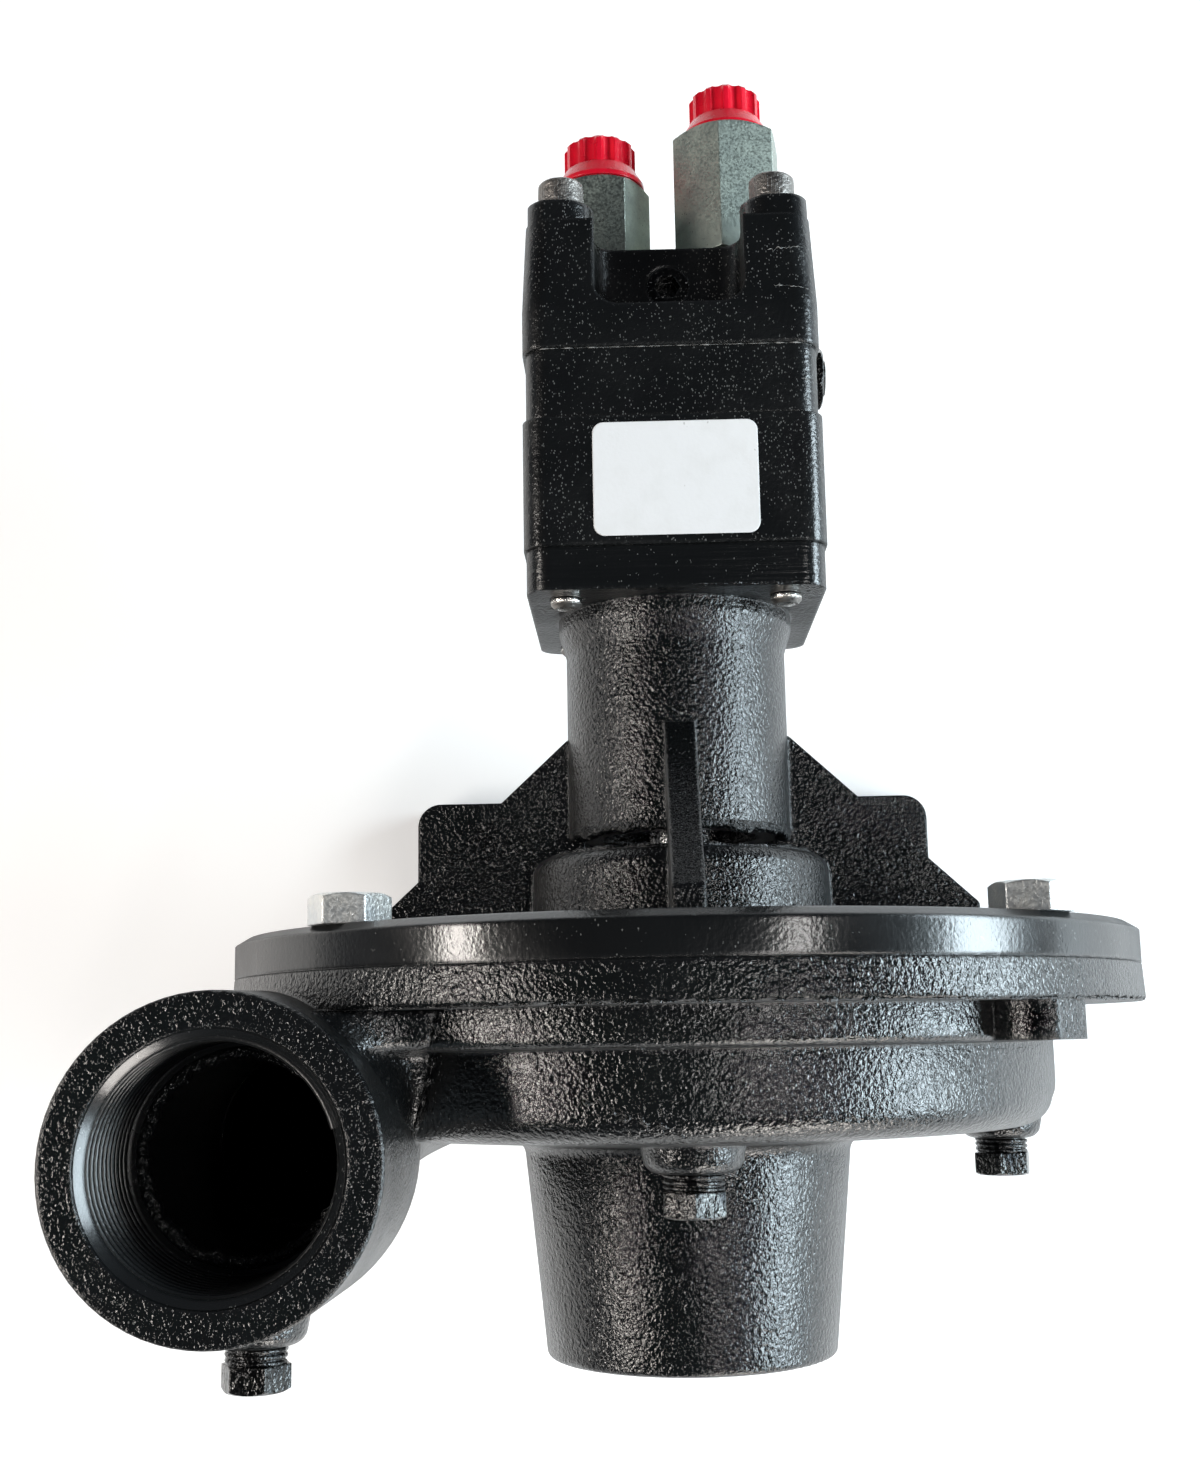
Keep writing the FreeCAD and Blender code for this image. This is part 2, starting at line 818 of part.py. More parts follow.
def vane_face(turn):
    """The outline of one backward-curved vane, seen along the shaft."""
    start_radius = eye_radius + 2.0
    end_radius = impeller_radius - 0.6
    growth = math.tan(math.radians(vane_angle))
    wrap = math.log(end_radius / start_radius) / growth
    sides = []
    for side in (-0.5, 0.5):
        points = []
        for step in range(vane_points):
            angle = wrap * step / (vane_points - 1)
            radius = start_radius * math.exp(growth * angle)
            half_swing = side * vane_thick / (radius * math.sin(math.radians(vane_angle)))
            swing = angle + math.radians(turn) + half_swing
            points.append(vec(radius * math.cos(swing), 0, radius * math.sin(swing)))
        curve = Part.BSplineCurve()
        curve.interpolate(points)
        sides.append((curve, points))
    (near, near_points), (far, far_points) = sides
    nose = Part.LineSegment(near_points[0], far_points[0]).toShape()
    tail = Part.LineSegment(near_points[-1], far_points[-1]).toShape()
    return Part.Face(Part.Wire(Part.__sortEdges__([near.toShape(), tail, far.toShape(), nose])))


def impeller():
    """The closed impeller: back plate and hub, curved vanes, front plate and eye ring."""
    back = turned([
        (shaft_radius + fixed_gap, impeller_back, 0),
        (impeller_radius, impeller_back, 0.8),
        (impeller_radius, passage_top, 0.8),
        (impeller_hub_radius + 6.0, passage_top, 6.0),
        (impeller_hub_radius, hub_end, 1.5),
        (shaft_radius + fixed_gap, hub_end, 0)])
    front = turned([
        (impeller_radius, tip_front, 0.6),
        (impeller_radius, tip_front - shroud_thick + 0.4, 0.6),
        (eye_ring_radius + 2.0, eye_front - shroud_thick + 0.4, 1.0),
        (eye_ring_radius, eye_front - shroud_thick - 0.6, 0),
        (eye_ring_radius, eye_front - shroud_thick - eye_ring_length, 0.4),
        (eye_radius, eye_front - shroud_thick - eye_ring_length, 0.4),
        (eye_radius, eye_front - 1.0, 2.0)])
    water = turned([
        (impeller_hub_radius + 2.0, passage_top + 0.6, 0),
        (impeller_radius - 0.3, passage_top + 0.6, 0),
        (impeller_radius - 0.3, tip_front - 0.6, 0),
        (eye_radius + 1.0, eye_front - 1.6, 0),
        (impeller_hub_radius + 2.0, eye_front + 2.0, 0)])
    vanes = []
    depth = passage_top - eye_front + 6.0
    for index in range(vane_count):
        vane = vane_face(360.0 / vane_count * index).extrude(vec(0, -depth, 0))
        vane.translate(vec(0, passage_top + 2.0, 0))
        vanes.append(vane.common(water))
    whole = joined(back, front, *vanes)
    return whole.cut(key_block(impeller_key_start, impeller_key_length, fixed_gap))


def impeller_washer():
    """The washer between hub and nut."""
    face = hub_end
    return ring(washer_radius, shaft_end_radius + 0.1, face - washer_thick, face - 0.01)


def impeller_nut():
    """The hexagon nut that holds the impeller."""
    start = hub_end - washer_thick
    bar = hex_bar(nut_flats, vec(0, start, 0), nut_thick, -AXIS_Y)
    return bar.cut(rod_y(shaft_end_radius + fixed_gap, start + 1, start - nut_thick - 1))


def impeller_key():
    """The key that drives the impeller."""
    return key_block(impeller_key_start, impeller_key_length)


def seal_seat():
    """The fixed ceramic face of the shaft seal."""
    return ring(seat_radius, shaft_radius + seat_bore_gap, seat_face, seat_face + seat_thick)


def seal_seat_cup():
    """The rubber cup that holds the seat in the collar."""
    outer = seat_radius + seat_cup_thick
    start = seal_cavity_depth + part_gap
    end = collar_top - collar_top_wall - contact_gap
    seat_back = seat_face + seat_thick + contact_gap
    bore = shaft_radius + collar_bore_gap
    return turned([
        (seat_radius + fixed_gap, start, 0), (outer, start, 0), (outer, end, 0), (bore, end, 0),
        (bore, seat_back, 0), (seat_radius + fixed_gap, seat_back, 0)])


def seal_head():
    """The carbon ring that turns against the seat, in its metal shell."""
    face = seat_face - seal_gap
    bore = shaft_radius + seal_bore_gap
    shell = seal_face_radius + seal_shell_thick
    return turned([
        (bore, face, 0), (seal_face_radius, face, 0), (seal_face_radius, face - seal_nose_length, 0),
        (shell, face - seal_nose_length, 0), (shell, face - seal_head_length, 0),
        (bore, face - seal_head_length, 0)])


def seal_bellows():
    """The rubber bellows that grips the shaft behind the carbon ring."""
    start = seat_face - seal_gap - seal_head_length - contact_gap
    end = impeller_back + part_gap
    lip = seal_bellows_radius + bellows_lip
    neck_start = start - bellows_lip_length
    neck_end = end + bellows_lip_length
    return turned([
        (shaft_radius + fixed_gap, start, 0), (lip, start, 0), (lip, neck_start, 0),
        (seal_bellows_radius, neck_start - bellows_slope, 0),
        (seal_bellows_radius, neck_end + bellows_slope, 0),
        (lip, neck_end, 0), (lip, end, 0), (shaft_radius + fixed_gap, end, 0)])


def coil_spring(radius, wire, start, end, turns):
    """A coil spring of square wire about the shaft line."""
    pitch = (end - start - wire) / turns
    helix = Part.makeHelix(pitch, pitch * turns, radius)
    half = wire / 2
    corners = [vec(radius + x, 0, z) for x, z in ((-half, -half), (half, -half), (half, half), (-half, half))]
    section = Part.makePolygon(corners + [corners[0]])
    coil = Part.Wire(helix).makePipeShell([section], True, True)
    coil.rotate(ORIGIN, AXIS_X, -90)
    coil.translate(vec(0, start + half, 0))
    return coil


def seal_spring():
    """The spring that presses the carbon ring on its seat."""
    top = seat_face - seal_gap - seal_head_length - part_gap
    low = impeller_back + part_gap
    return coil_spring(seal_spring_radius, seal_spring_wire, low, top, seal_spring_turns)


def slinger():
    """The rubber ring on the shaft that throws off water in the lantern."""
    start = column_start + slinger_above_lantern
    lip = start + slinger_thick
    bore = shaft_radius + fixed_gap
    sleeve = shaft_radius + slinger_sleeve
    end = lip + slinger_sleeve
    return turned([
        (bore, start, 0), (slinger_radius, start, 0), (slinger_radius, lip, slinger_sleeve_draft),
        (sleeve, lip, slinger_sleeve_draft), (sleeve - slinger_sleeve_draft, end, 0), (bore, end, 0)])


# Motor body and bearing

def motor_body():
    """The motor's front housing, with the bore for shaft seal and bearing."""
    block = square_block(body_half, motor_face, ring_start, square_corner)
    start = motor_face - pilot_length
    pilot = rod_y(pilot_radius, start, motor_face + cast_overlap)
    solid = joined(block, pilot)
    past_end = ring_start + cut_past
    holes = [rod_y(bearing_outer_radius + fixed_gap, start - cut_past, bearing_end + fixed_gap),
             ring(bearing_outer_radius + snap_ring_depth, bearing_outer_radius - cut_past,
                  snap_start - part_gap, snap_start + snap_ring_thick + part_gap),
             rod_y(shaft_radius + shaft_hole_gap, bearing_end, past_end),
             kidney(-1, ring_start - kidney_depth / 2, past_end),
             kidney(1, ring_start - kidney_depth / 2, past_end),
             plate_seal_groove(ring_start, -1)]
    holes.extend(motor_bolt_holes(motor_face - cut_past, past_end))
    holes.extend(dowel_holes(ring_start - dowel_half_length - dowel_end_gap, past_end))
    return solid.cut(holes)


def motor_bolt_holes(start, end):
    """Clearance holes for the four through bolts."""
    return [rod_y(through_bolt_radius + bolt_hole_gap, start, end, x, z) for x, z in through_bolt_places()]


def dowel_places():
    """The two dowels, in opposite corners."""
    return [(dowel_x, dowel_z), (-dowel_x, -dowel_z)]


def dowel_holes(start, end):
    """Holes for the two dowels."""
    return [rod_y(dowel_radius + fixed_gap, start, end, x, z) for x, z in dowel_places()]


def kidney(side, start, end):
    """A curved oil port beside the shaft."""
    sector = ring(kidney_outer, kidney_inner, start, end)
    half = math.radians(kidney_half_angle)
    across = side * 2 * kidney_outer * math.cos(half)
    up = 2 * kidney_outer * math.sin(half)
    wedge = prism([(0, 0, 0), (across, -up, 0), (across, up, 0)],
                  lambda u, v: vec(u, start, v), vec(0, end - start, 0))
    return sector.common(wedge)


def plate_seal_groove(face, side):
    """The groove for a plate seal, cut into a face towards side."""
    depth = 2 * plate_seal_section + plate_seal_gap
    half = plate_seal_section + plate_seal_gap
    low, high = sorted((face, face + side * depth))
    return ring(plate_seal_radius + half, plate_seal_radius - half, low, high)


def plate_seal(face, side):
    """The square-cut soft ring in such a groove."""
    low, high = sorted((face + side * contact_gap, face + side * 2 * plate_seal_section))
    return ring(plate_seal_radius + plate_seal_section, plate_seal_radius - plate_seal_section, low, high)


def shaft_lip_seal():
    """The oil seal at the front of the motor."""
    start = lip_seal_place
    end = start + lip_seal_width
    middle = start + lip_seal_width / 2
    outer = bearing_outer_radius
    wall = outer - lip_seal_wall
    inner = shaft_radius + running_gap
    return turned([
        (inner + lip_flange, start, 0), (outer, start, 0.5), (outer, end, 0), (wall, end, 0),
        (wall, start + lip_seal_wall, 0), (inner + lip_flange, start + lip_seal_wall, 0),
        (inner, middle + lip_slope, 0), (inner, middle, 0)])


def snap_ring():
    """The open spring ring that keeps the bearing in."""
    outer = bearing_outer_radius + snap_ring_depth - part_gap
    whole = ring(outer, outer - snap_ring_width, snap_start, snap_start + snap_ring_thick)
    opening = Part.makeBox(snap_ring_opening, snap_ring_thick + 2 * cut_past, outer + cut_past,
                           vec(-snap_ring_opening / 2, snap_start - cut_past, 0))
    return whole.cut(opening)


def bearing_race(outer, inner, start):
    """One race of the ball bearing, with its groove."""
    middle = vec(0, start + bearing_width / 2, 0)
    groove = Part.makeTorus(ball_circle, ball_radius + ball_gap, middle, AXIS_Y)
    return ring(outer, inner, start, start + bearing_width).cut(groove)


def front_bearing_outer():
    """The outer race, pressed in the motor body."""
    return bearing_race(bearing_outer_radius, outer_race_inner, bearing_start)


def front_bearing_inner():
    """The inner race, on the shaft."""
    return bearing_race(inner_race_outer, shaft_radius + fixed_gap, bearing_start)


def ball_places():
    """The centres of the bearing balls."""
    places = []
    for index in range(ball_count):
        angle = 2 * math.pi * index / ball_count
        places.append(vec(ball_circle * math.cos(angle), bearing_start + bearing_width / 2,
                          ball_circle * math.sin(angle)))
    return places


def front_bearing_balls():
    """The balls of the front bearing."""
    return group(Part.makeSphere(ball_radius, place) for place in ball_places())


def front_bearing_cage():
    """The cage that spaces the balls."""
    middle = bearing_start + bearing_width / 2
    band = ring(ball_circle + cage_thick / 2, ball_circle - cage_thick / 2,
                middle - cage_width, middle + cage_width)
    pockets = []
    for place in ball_places():
        inward = vec(0, place.y, 0)
        pockets.append(rod(ball_radius + ball_gap, inward, bearing_outer_radius, place - inward))
    return band.cut(pockets)


# Gerotor set

def gerotor_housing():
    """The ring plate that the rotors turn in."""
    block = square_block(ring_half, ring_start, ring_end, square_corner)
    start = ring_start - cut_past
    end = ring_end + cut_past
    bore = rod_y(outer_rotor_radius + running_gap, start, end, 0, eccentricity)
    return block.cut([bore] + motor_bolt_holes(start, end) + dowel_holes(start, end))


def inner_tooth_point(turn):
    """A point of the inner rotor's outline: the path of a lobe centre, set in by the lobe's radius."""
    teeth = inner_teeth + 1
    offset = lobe_radius + tooth_gap
    along = lobe_circle * math.cos(turn) + eccentricity * math.cos(teeth * turn)
    across = lobe_circle * math.sin(turn) + eccentricity * math.sin(teeth * turn)
    along_slope = -lobe_circle * math.sin(turn) - teeth * eccentricity * math.sin(teeth * turn)
    across_slope = lobe_circle * math.cos(turn) + teeth * eccentricity * math.cos(teeth * turn)
    length = math.hypot(along_slope, across_slope)
    return vec(across + offset * along_slope / length, ring_start + rotor_side_gap,
               along - offset * across_slope / length)


def gerotor_inner():
    """The inner rotor, whose flanks follow the outer rotor's lobes."""
    arcs = inner_teeth * arcs_per_tooth
    step = math.pi / arcs
    edges = []
    for index in range(arcs):
        ends = [inner_tooth_point(step * (2 * index + part)) for part in (0, 1, 2)]
        edges.append(Part.Arc(*ends).toShape())
    face = Part.Face(Part.Wire(edges))
    body = face.extrude(vec(0, ring_length - 2 * rotor_side_gap, 0))
    body = body.cut(rod_y(shaft_radius + fixed_gap, ring_start - cut_past, ring_end + cut_past))
    return body.cut(key_block(gerotor_key_start, gerotor_key_length, fixed_gap))


def gerotor_outer():
    """The outer rotor, with one lobe more than the inner one."""
    outer_teeth = inner_teeth + 1
    start = ring_start + rotor_side_gap
    end = ring_end - rotor_side_gap
    root = lobe_circle + 2 * eccentricity - lobe_radius + lobe_root_gap
    hollow = rod_y(root, start - cut_past, end + cut_past, 0, eccentricity)
    lobes = []
    for index in range(outer_teeth):
        angle = 2 * math.pi * index / outer_teeth
        lobes.append(rod_y(lobe_radius, start - 2 * cut_past, end + 2 * cut_past,
                           lobe_circle * math.sin(angle), eccentricity + lobe_circle * math.cos(angle)))
    hollow = hollow.cut(lobes)
    return rod_y(outer_rotor_radius, start, end, 0, eccentricity).cut(hollow)


def gerotor_key():
    """The key that ties the inner rotor to the shaft."""
    return key_block(gerotor_key_start, gerotor_key_length)


def dowel_pins():
    """The two dowels that line up body, ring plate and cover."""
    start = ring_start - dowel_half_length
    return group(rod_y(dowel_radius, start, ring_end + dowel_half_length, x, z) for x, z in dowel_places())


# End cover

def corner_pads():
    """The four round corner bosses, each filled out to the corner of the cover."""
    low = spine_top - boss_drop
    pads = []
    for x, z in through_bolt_places():
        pads.append(rod_y(boss_radius, low, boss_top, x, z))
        place = vec(min(x, x + math.copysign(boss_radius, x)), low, min(z, z + math.copysign(boss_radius, z)))
        pads.append(Part.makeBox(boss_radius, boss_top - low, boss_radius, place))
    return joined(*pads)


def end_cover():
    """The rear housing: oil ports, rear bush, corner bosses and deep front recess."""
    floor = ring_end + recess_floor
    base = square_block(cover_half, ring_end, floor, square_corner)
    low = rounded_loop(square_points(cover_half, square_corner), lambda u, v: vec(u, floor, v))
    high = rounded_loop(square_points(cover_top_half, square_corner + cover_corner_growth),
                        lambda u, v: vec(u, boss_top, v))
    upper = Part.makeLoft([low, high], True, True)
    lower = upper.cut(rod_y(cover_half * 2, spine_top, boss_top + cut_past))
    lower = lower.cut([recess(1), recess(-1)])
    solid = joined(base, lower, upper.common(corner_pads()))
    before = ring_end - cut_past
    shank_end = spine_top - port_shank_length
    holes = [rod_y(rear_bush_radius + fixed_gap, before, ring_end + rear_bush_length + rear_bush_end_gap),
             kidney(-1, before, ring_end + kidney_depth / 2),
             kidney(1, before, ring_end + kidney_depth / 2),
             plate_seal_groove(ring_end, 1)]
    for side in (-1, 1):
        x = side * port_half_spacing
        holes.append(rod_y(port_shank_radius + fixed_gap, shank_end - cut_past, spine_top + cut_past, x, 0))
        holes.append(rod_y(port_passage_radius, ring_end, shank_end, x, 0))
    screw_end = cover_half - bypass_screw_in + needle_length
    holes.append(rod(bypass_screw_radius + running_gap, vec(screw_end, bypass_y, -bypass_drop),
                     cover_half - screw_end + cut_past, AXIS_X))
    needle_start = vec(port_half_spacing - cut_past, bypass_y, -bypass_drop)
    holes.append(rod(needle_radius + needle_hole_gap, needle_start,
                     cover_half - port_half_spacing, AXIS_X))
    holes.append(rod(socket_plug_radius + fixed_gap,
                     vec(0, socket_plug_y, spine_half - socket_plug_depth - plug_end_gap),
                     socket_plug_depth + 2 * cut_past, AXIS_Z))
    holes.extend(motor_bolt_holes(before, boss_top + cut_past))
    holes.extend(dowel_holes(before, ring_end + dowel_half_length + dowel_end_gap))
    return solid.cut(holes)


def recess(side):
    """The open recess between two corner bosses, in front or behind the port spine."""
    floor = ring_end + recess_floor
    depth = cover_half - spine_half + cut_past
    height = boss_top - floor + recess_corner + cut_past
    block = Part.makeBox(2 * recess_half, height, depth, vec(-recess_half, floor, spine_half))
    floor_edges = []
    side_edges = []
    for edge in block.Edges:
        box = edge.BoundBox
        on_side = abs(abs(box.Center.x) - recess_half) < SMALL
        if on_side and abs(box.ZMin - spine_half) < SMALL and abs(box.ZMax - spine_half) < SMALL:
            side_edges.append(edge)
        elif on_side and abs(box.YMax - floor) < SMALL:
            floor_edges.append(edge)
    block = block.makeFillet(recess_corner, side_edges + floor_edges)
    if side < 0:
        block.rotate(ORIGIN, AXIS_Y, 180)
    return block


def rear_bush():
    """The plain bush that carries the rear end of the shaft."""
    return ring(rear_bush_radius, shaft_radius + running_gap, ring_end + rear_bush_inset,
                ring_end + rear_bush_length)


def through_bolts():
    """Four long socket screws from the bosses through to the bracket flange."""
    solids = []
    head_top = boss_top + through_bolt_head
    tip = body_end - through_bolt_tip
    for x, z in through_bolt_places():
        head = rod_y(through_bolt_head_radius, boss_top, head_top, x, z)
        head = head.makeChamfer(through_bolt_head_chamfer,
                                [e for e in head.Edges if e.BoundBox.YMin > head_top - SMALL])
        shank = rod_y(through_bolt_radius, tip, boss_top + cast_overlap, x, z)
        shank = shank.makeChamfer(through_bolt_tip_chamfer,
                                  [e for e in shank.Edges if e.BoundBox.YMax < tip + SMALL])
        socket = hex_bar(socket_flats, vec(x, head_top - socket_depth, z), 2 * socket_depth, AXIS_Y)
        solids.append(joined(head, shank).cut(socket))
    return group(solids)


def recess_plug():
    """The socket plug in the back wall of the front recess."""
    body = rod(socket_plug_radius, vec(0, socket_plug_y, spine_half - socket_plug_depth),
               socket_plug_depth, AXIS_Z)
    socket = hex_bar(socket_flats, vec(0, socket_plug_y, spine_half - socket_depth), 2 * socket_depth, AXIS_Z)
    return body.cut(socket)


# Bypass adjuster

def bypass_needle():
    """The adjusting screw that throttles oil past the rotors."""
    start = cover_half - bypass_screw_in + needle_length + needle_rest_gap
    end = cover_half + bypass_screw_out
    screw = rod(bypass_screw_radius, vec(start, bypass_y, -bypass_drop), end - start, AXIS_X)
    needle = Part.makeCone(needle_tip_radius, needle_radius, needle_length + cast_overlap,
                           vec(start - needle_length, bypass_y, -bypass_drop), AXIS_X)
    socket = hex_bar(bypass_socket_flats, vec(end - bypass_socket_depth, bypass_y, -bypass_drop),
                     2 * bypass_socket_depth, AXIS_X)
    return joined(screw, needle).cut(socket)


def bypass_jam_nut():
    """The nut that locks the adjusting screw."""
    nut = hex_bar(bypass_nut_flats, vec(cover_half, bypass_y, -bypass_drop), bypass_nut_thick, AXIS_X, 90)
    bore = rod(bypass_screw_radius + running_gap, vec(cover_half - cut_past, bypass_y, -bypass_drop),
               bypass_nut_thick + 2 * cut_past, AXIS_X)
    return nut.cut(bore)


# Port adapters, valve and caps

def adapter_blank(x, flats, top, turn):
    """A hexagon adapter body with its foot and threaded shank."""
    foot_top = spine_top + adapter_foot_thick
    body = hex_bar(flats, vec(x, foot_top, 0), top - foot_top, AXIS_Y, turn)
    foot_ring = rod_y(adapter_foot_radius, spine_top, foot_top + cast_overlap, x, 0)
    shank = rod_y(port_shank_radius, spine_top - port_shank_length, spine_top + cast_overlap, x, 0)
    return joined(body, foot_ring, shank)


def adapter_bores(x, top, passage):
    """The oil way through an adapter and the threaded port in its end."""
    return [rod_y(passage, spine_top - port_shank_length - cut_past, top, x, 0),
            rod_y(port_thread_radius, top - port_thread_length, top + cut_past, x, 0)]


def pressure_adapter():
    """The short adapter, where pressure oil comes in."""
    blank = adapter_blank(-port_half_spacing, short_adapter_flats, short_adapter_top, 0)
    return blank.cut(adapter_bores(-port_half_spacing, short_adapter_top, port_passage_radius))


def return_adapter():
    """The long adapter, where oil leaves past a non-return valve."""
    blank = adapter_blank(port_half_spacing, long_adapter_flats, long_adapter_top, long_adapter_turn)
    holes = adapter_bores(port_half_spacing, long_adapter_top, valve_seat_radius)
    holes.append(rod_y(valve_chamber_radius, spine_top + valve_seat_height, long_adapter_top,
                       port_half_spacing, 0))
    return blank.cut(holes)


def valve_poppet():
    """The poppet that closes the return port against back flow."""
    x = port_half_spacing
    nose = valve_seat_radius - poppet_nose_gap
    cone = Part.makeCone(nose - poppet_nose_taper, nose, poppet_nose,
                         vec(x, valve_seat_y - poppet_nose, 0), AXIS_Y)
    head = rod_y(poppet_radius, valve_seat_y, valve_seat_y + poppet_head, x, 0)
    stem = rod_y(valve_spring_radius - valve_spring_wire / 2 - stem_gap, valve_seat_y + poppet_head / 2,
                 valve_seat_y + poppet_length, x, 0)
    return joined(cone, head, stem)


def valve_spring():
    """The light spring that seats the poppet."""
    start = valve_seat_y + poppet_head + part_gap
    coil = coil_spring(valve_spring_radius, valve_spring_wire, start, retainer_start - part_gap,
                       valve_spring_turns)
    coil.translate(vec(port_half_spacing, 0, 0))
    return coil


def valve_retainer():
    """The pierced disc that holds the valve spring."""
    x = port_half_spacing
    end = retainer_start + retainer_thick
    disc = rod_y(valve_chamber_radius - fixed_gap, retainer_start, end, x, 0)
    return disc.cut(rod_y(retainer_hole_radius, retainer_start - cut_past, end + cut_past, x, 0))


def port_cap(x, face):
    """A moulded cap: plug shank, sloped skirt and fluted knob."""
    start = face + part_gap
    brim_top = start + cap_brim
    knob_start = start + cap_skirt_height
    top = knob_start + cap_knob_height
    shank = rod_y(port_thread_radius - cap_shank_gap, face - cap_shank_length, brim_top, x, 0)
    brim = rod_y(cap_skirt_radius, start, brim_top, x, 0)
    skirt = Part.makeCone(cap_skirt_radius, cap_knob_radius, cap_skirt_height - cap_brim,
                          vec(x, brim_top, 0), AXIS_Y)
    knob = rod_y(cap_knob_radius, knob_start - contact_gap, top, x, 0)
    knob = knob.makeChamfer(cap_knob_chamfer, [e for e in knob.Edges if e.BoundBox.YMin > top - SMALL])
    reach = cap_knob_radius + cap_flute_reach
    flutes = []
    for index in range(cap_flutes):
        angle = 2 * math.pi * (index + 0.5) / cap_flutes
        flutes.append(rod_y(cap_flute_radius, knob_start, top + cut_past,
                            x + reach * math.cos(angle), reach * math.sin(angle)))
    hollow = rod_y(cap_hollow_radius, top - cap_hollow_depth, top + cut_past, x, 0)
    return joined(shank, brim, skirt, knob.cut(flutes)).cut(hollow)


def parts():
    """Every node of the pump and the piece that it holds."""
    plugs = [hex_plug(*place, turn) for place, turn in zip(plug_places(), plug_turns)]
    return {
        "volute_casing": volute_casing(),
        "front_vent_plug": plugs[0],
        "side_drain_plug": plugs[1],
        "outlet_drain_plug": plugs[2],
        "casing_o_ring": casing_o_ring(),
        "casing_bolts": casing_bolts(),
        "motor_bracket": motor_bracket(),
        "motor_shaft": motor_shaft(),
        "impeller": impeller(),
        "impeller_washer": impeller_washer(),
        "impeller_nut": impeller_nut(),
        "impeller_key": impeller_key(),
        "seal_seat": seal_seat(),
        "seal_seat_cup": seal_seat_cup(),
        "seal_head": seal_head(),
        "seal_bellows": seal_bellows(),
        "seal_spring": seal_spring(),
        "slinger": slinger(),
        "motor_body": motor_body(),
        "shaft_lip_seal": shaft_lip_seal(),
        "snap_ring": snap_ring(),
        "front_bearing_outer": front_bearing_outer(),
        "front_bearing_inner": front_bearing_inner(),
        "front_bearing_balls": front_bearing_balls(),
        "front_bearing_cage": front_bearing_cage(),
        "gerotor_housing": gerotor_housing(),
        "gerotor_inner": gerotor_inner(),
        "gerotor_outer": gerotor_outer(),
        "gerotor_key": gerotor_key(),
        "front_plate_seal": plate_seal(ring_start, -1),
        "rear_plate_seal": plate_seal(ring_end, 1),
        "dowel_pins": dowel_pins(),
        "end_cover": end_cover(),
        "rear_bush": rear_bush(),
        "through_bolts": through_bolts(),
        "recess_plug": recess_plug(),
        "bypass_needle": bypass_needle(),
        "bypass_jam_nut": bypass_jam_nut(),
        "pressure_adapter": pressure_adapter(),
        "return_adapter": return_adapter(),
        "valve_poppet": valve_poppet(),
        "valve_spring": valve_spring(),
        "valve_retainer": valve_retainer(),
        "pressure_cap": port_cap(-port_half_spacing, short_adapter_top),
        "return_cap": port_cap(port_half_spacing, long_adapter_top),
    }


def main():
    """Lift every piece onto the foot and write it."""
    os.makedirs("parts", exist_ok=True)
    lift = vec(0, -foot_bolt_from_joint, shaft_height)
    for name, shape in parts().items():
        shape.translate(lift)
        solids = len(shape.Solids)
        print(f"{name}: {solids} solids, {shape.Volume:.1f} mm3, valid {shape.isValid()}")
        shape.exportStep(f"parts/{name}.step")


main()
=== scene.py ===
"""The looks of a small cast-iron water pump and its square oil motor.

Each sub-assembly is a class that dresses its own nodes and adds the fine pieces: threads, knurls,
casting flash, torn edges and the bare sticker. Sizes are in millimetres, measured from the shaft
line and the casing joint, and become metres only when a mesh is made.
"""

import json
import logging
import math
from dataclasses import dataclass, field
from enum import Enum
from typing import Callable, ClassVar, Dict, List, Optional, Sequence

import bmesh
import bpy
from bpy.types import Material, Node, NodeSocket, NodeTree, Object
from mathutils import Matrix, Vector, noise

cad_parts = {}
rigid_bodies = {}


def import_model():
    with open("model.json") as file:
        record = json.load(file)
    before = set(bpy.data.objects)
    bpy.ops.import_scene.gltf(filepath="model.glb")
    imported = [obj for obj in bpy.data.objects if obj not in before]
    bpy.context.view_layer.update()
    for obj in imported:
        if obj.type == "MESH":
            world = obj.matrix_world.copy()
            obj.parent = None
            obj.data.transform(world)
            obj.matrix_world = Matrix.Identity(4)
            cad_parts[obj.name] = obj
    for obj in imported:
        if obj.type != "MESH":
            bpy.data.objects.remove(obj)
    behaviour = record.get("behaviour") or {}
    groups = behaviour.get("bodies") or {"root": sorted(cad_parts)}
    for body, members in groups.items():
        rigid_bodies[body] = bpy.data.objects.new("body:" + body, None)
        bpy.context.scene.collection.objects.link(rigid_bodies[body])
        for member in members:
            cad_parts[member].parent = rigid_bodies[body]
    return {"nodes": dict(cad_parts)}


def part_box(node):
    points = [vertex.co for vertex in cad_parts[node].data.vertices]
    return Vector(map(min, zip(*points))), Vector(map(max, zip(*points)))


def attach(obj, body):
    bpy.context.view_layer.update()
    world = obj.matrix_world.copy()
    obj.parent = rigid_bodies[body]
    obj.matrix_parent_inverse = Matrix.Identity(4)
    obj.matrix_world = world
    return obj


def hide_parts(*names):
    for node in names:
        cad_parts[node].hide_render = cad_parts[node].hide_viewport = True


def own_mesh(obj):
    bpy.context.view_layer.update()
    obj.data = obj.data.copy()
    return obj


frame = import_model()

log = logging.getLogger("pump")
MM = 0.001
SHAFT_HEIGHT = 98.0
JOINT_PLACE = -28.0
ABOVE_ALL = 120.0
STRAIGHT_DOWN = Vector((0.0, 0.0, -1.0))
SAME_PLACE = 1e-7
NUMBER = "NodeSocketFloat"
ARROW = "NodeSocketVector"
Loops = List[List[Vector]]
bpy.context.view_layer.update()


class Facing(Enum):
    """The Euler angles that turn a piece's own +Z to a direction."""

    TO_MOTOR = (-math.pi / 2, 0.0, 0.0)
    TO_INLET = (math.pi / 2, 0.0, 0.0)
    UP = (0.0, 0.0, 0.0)


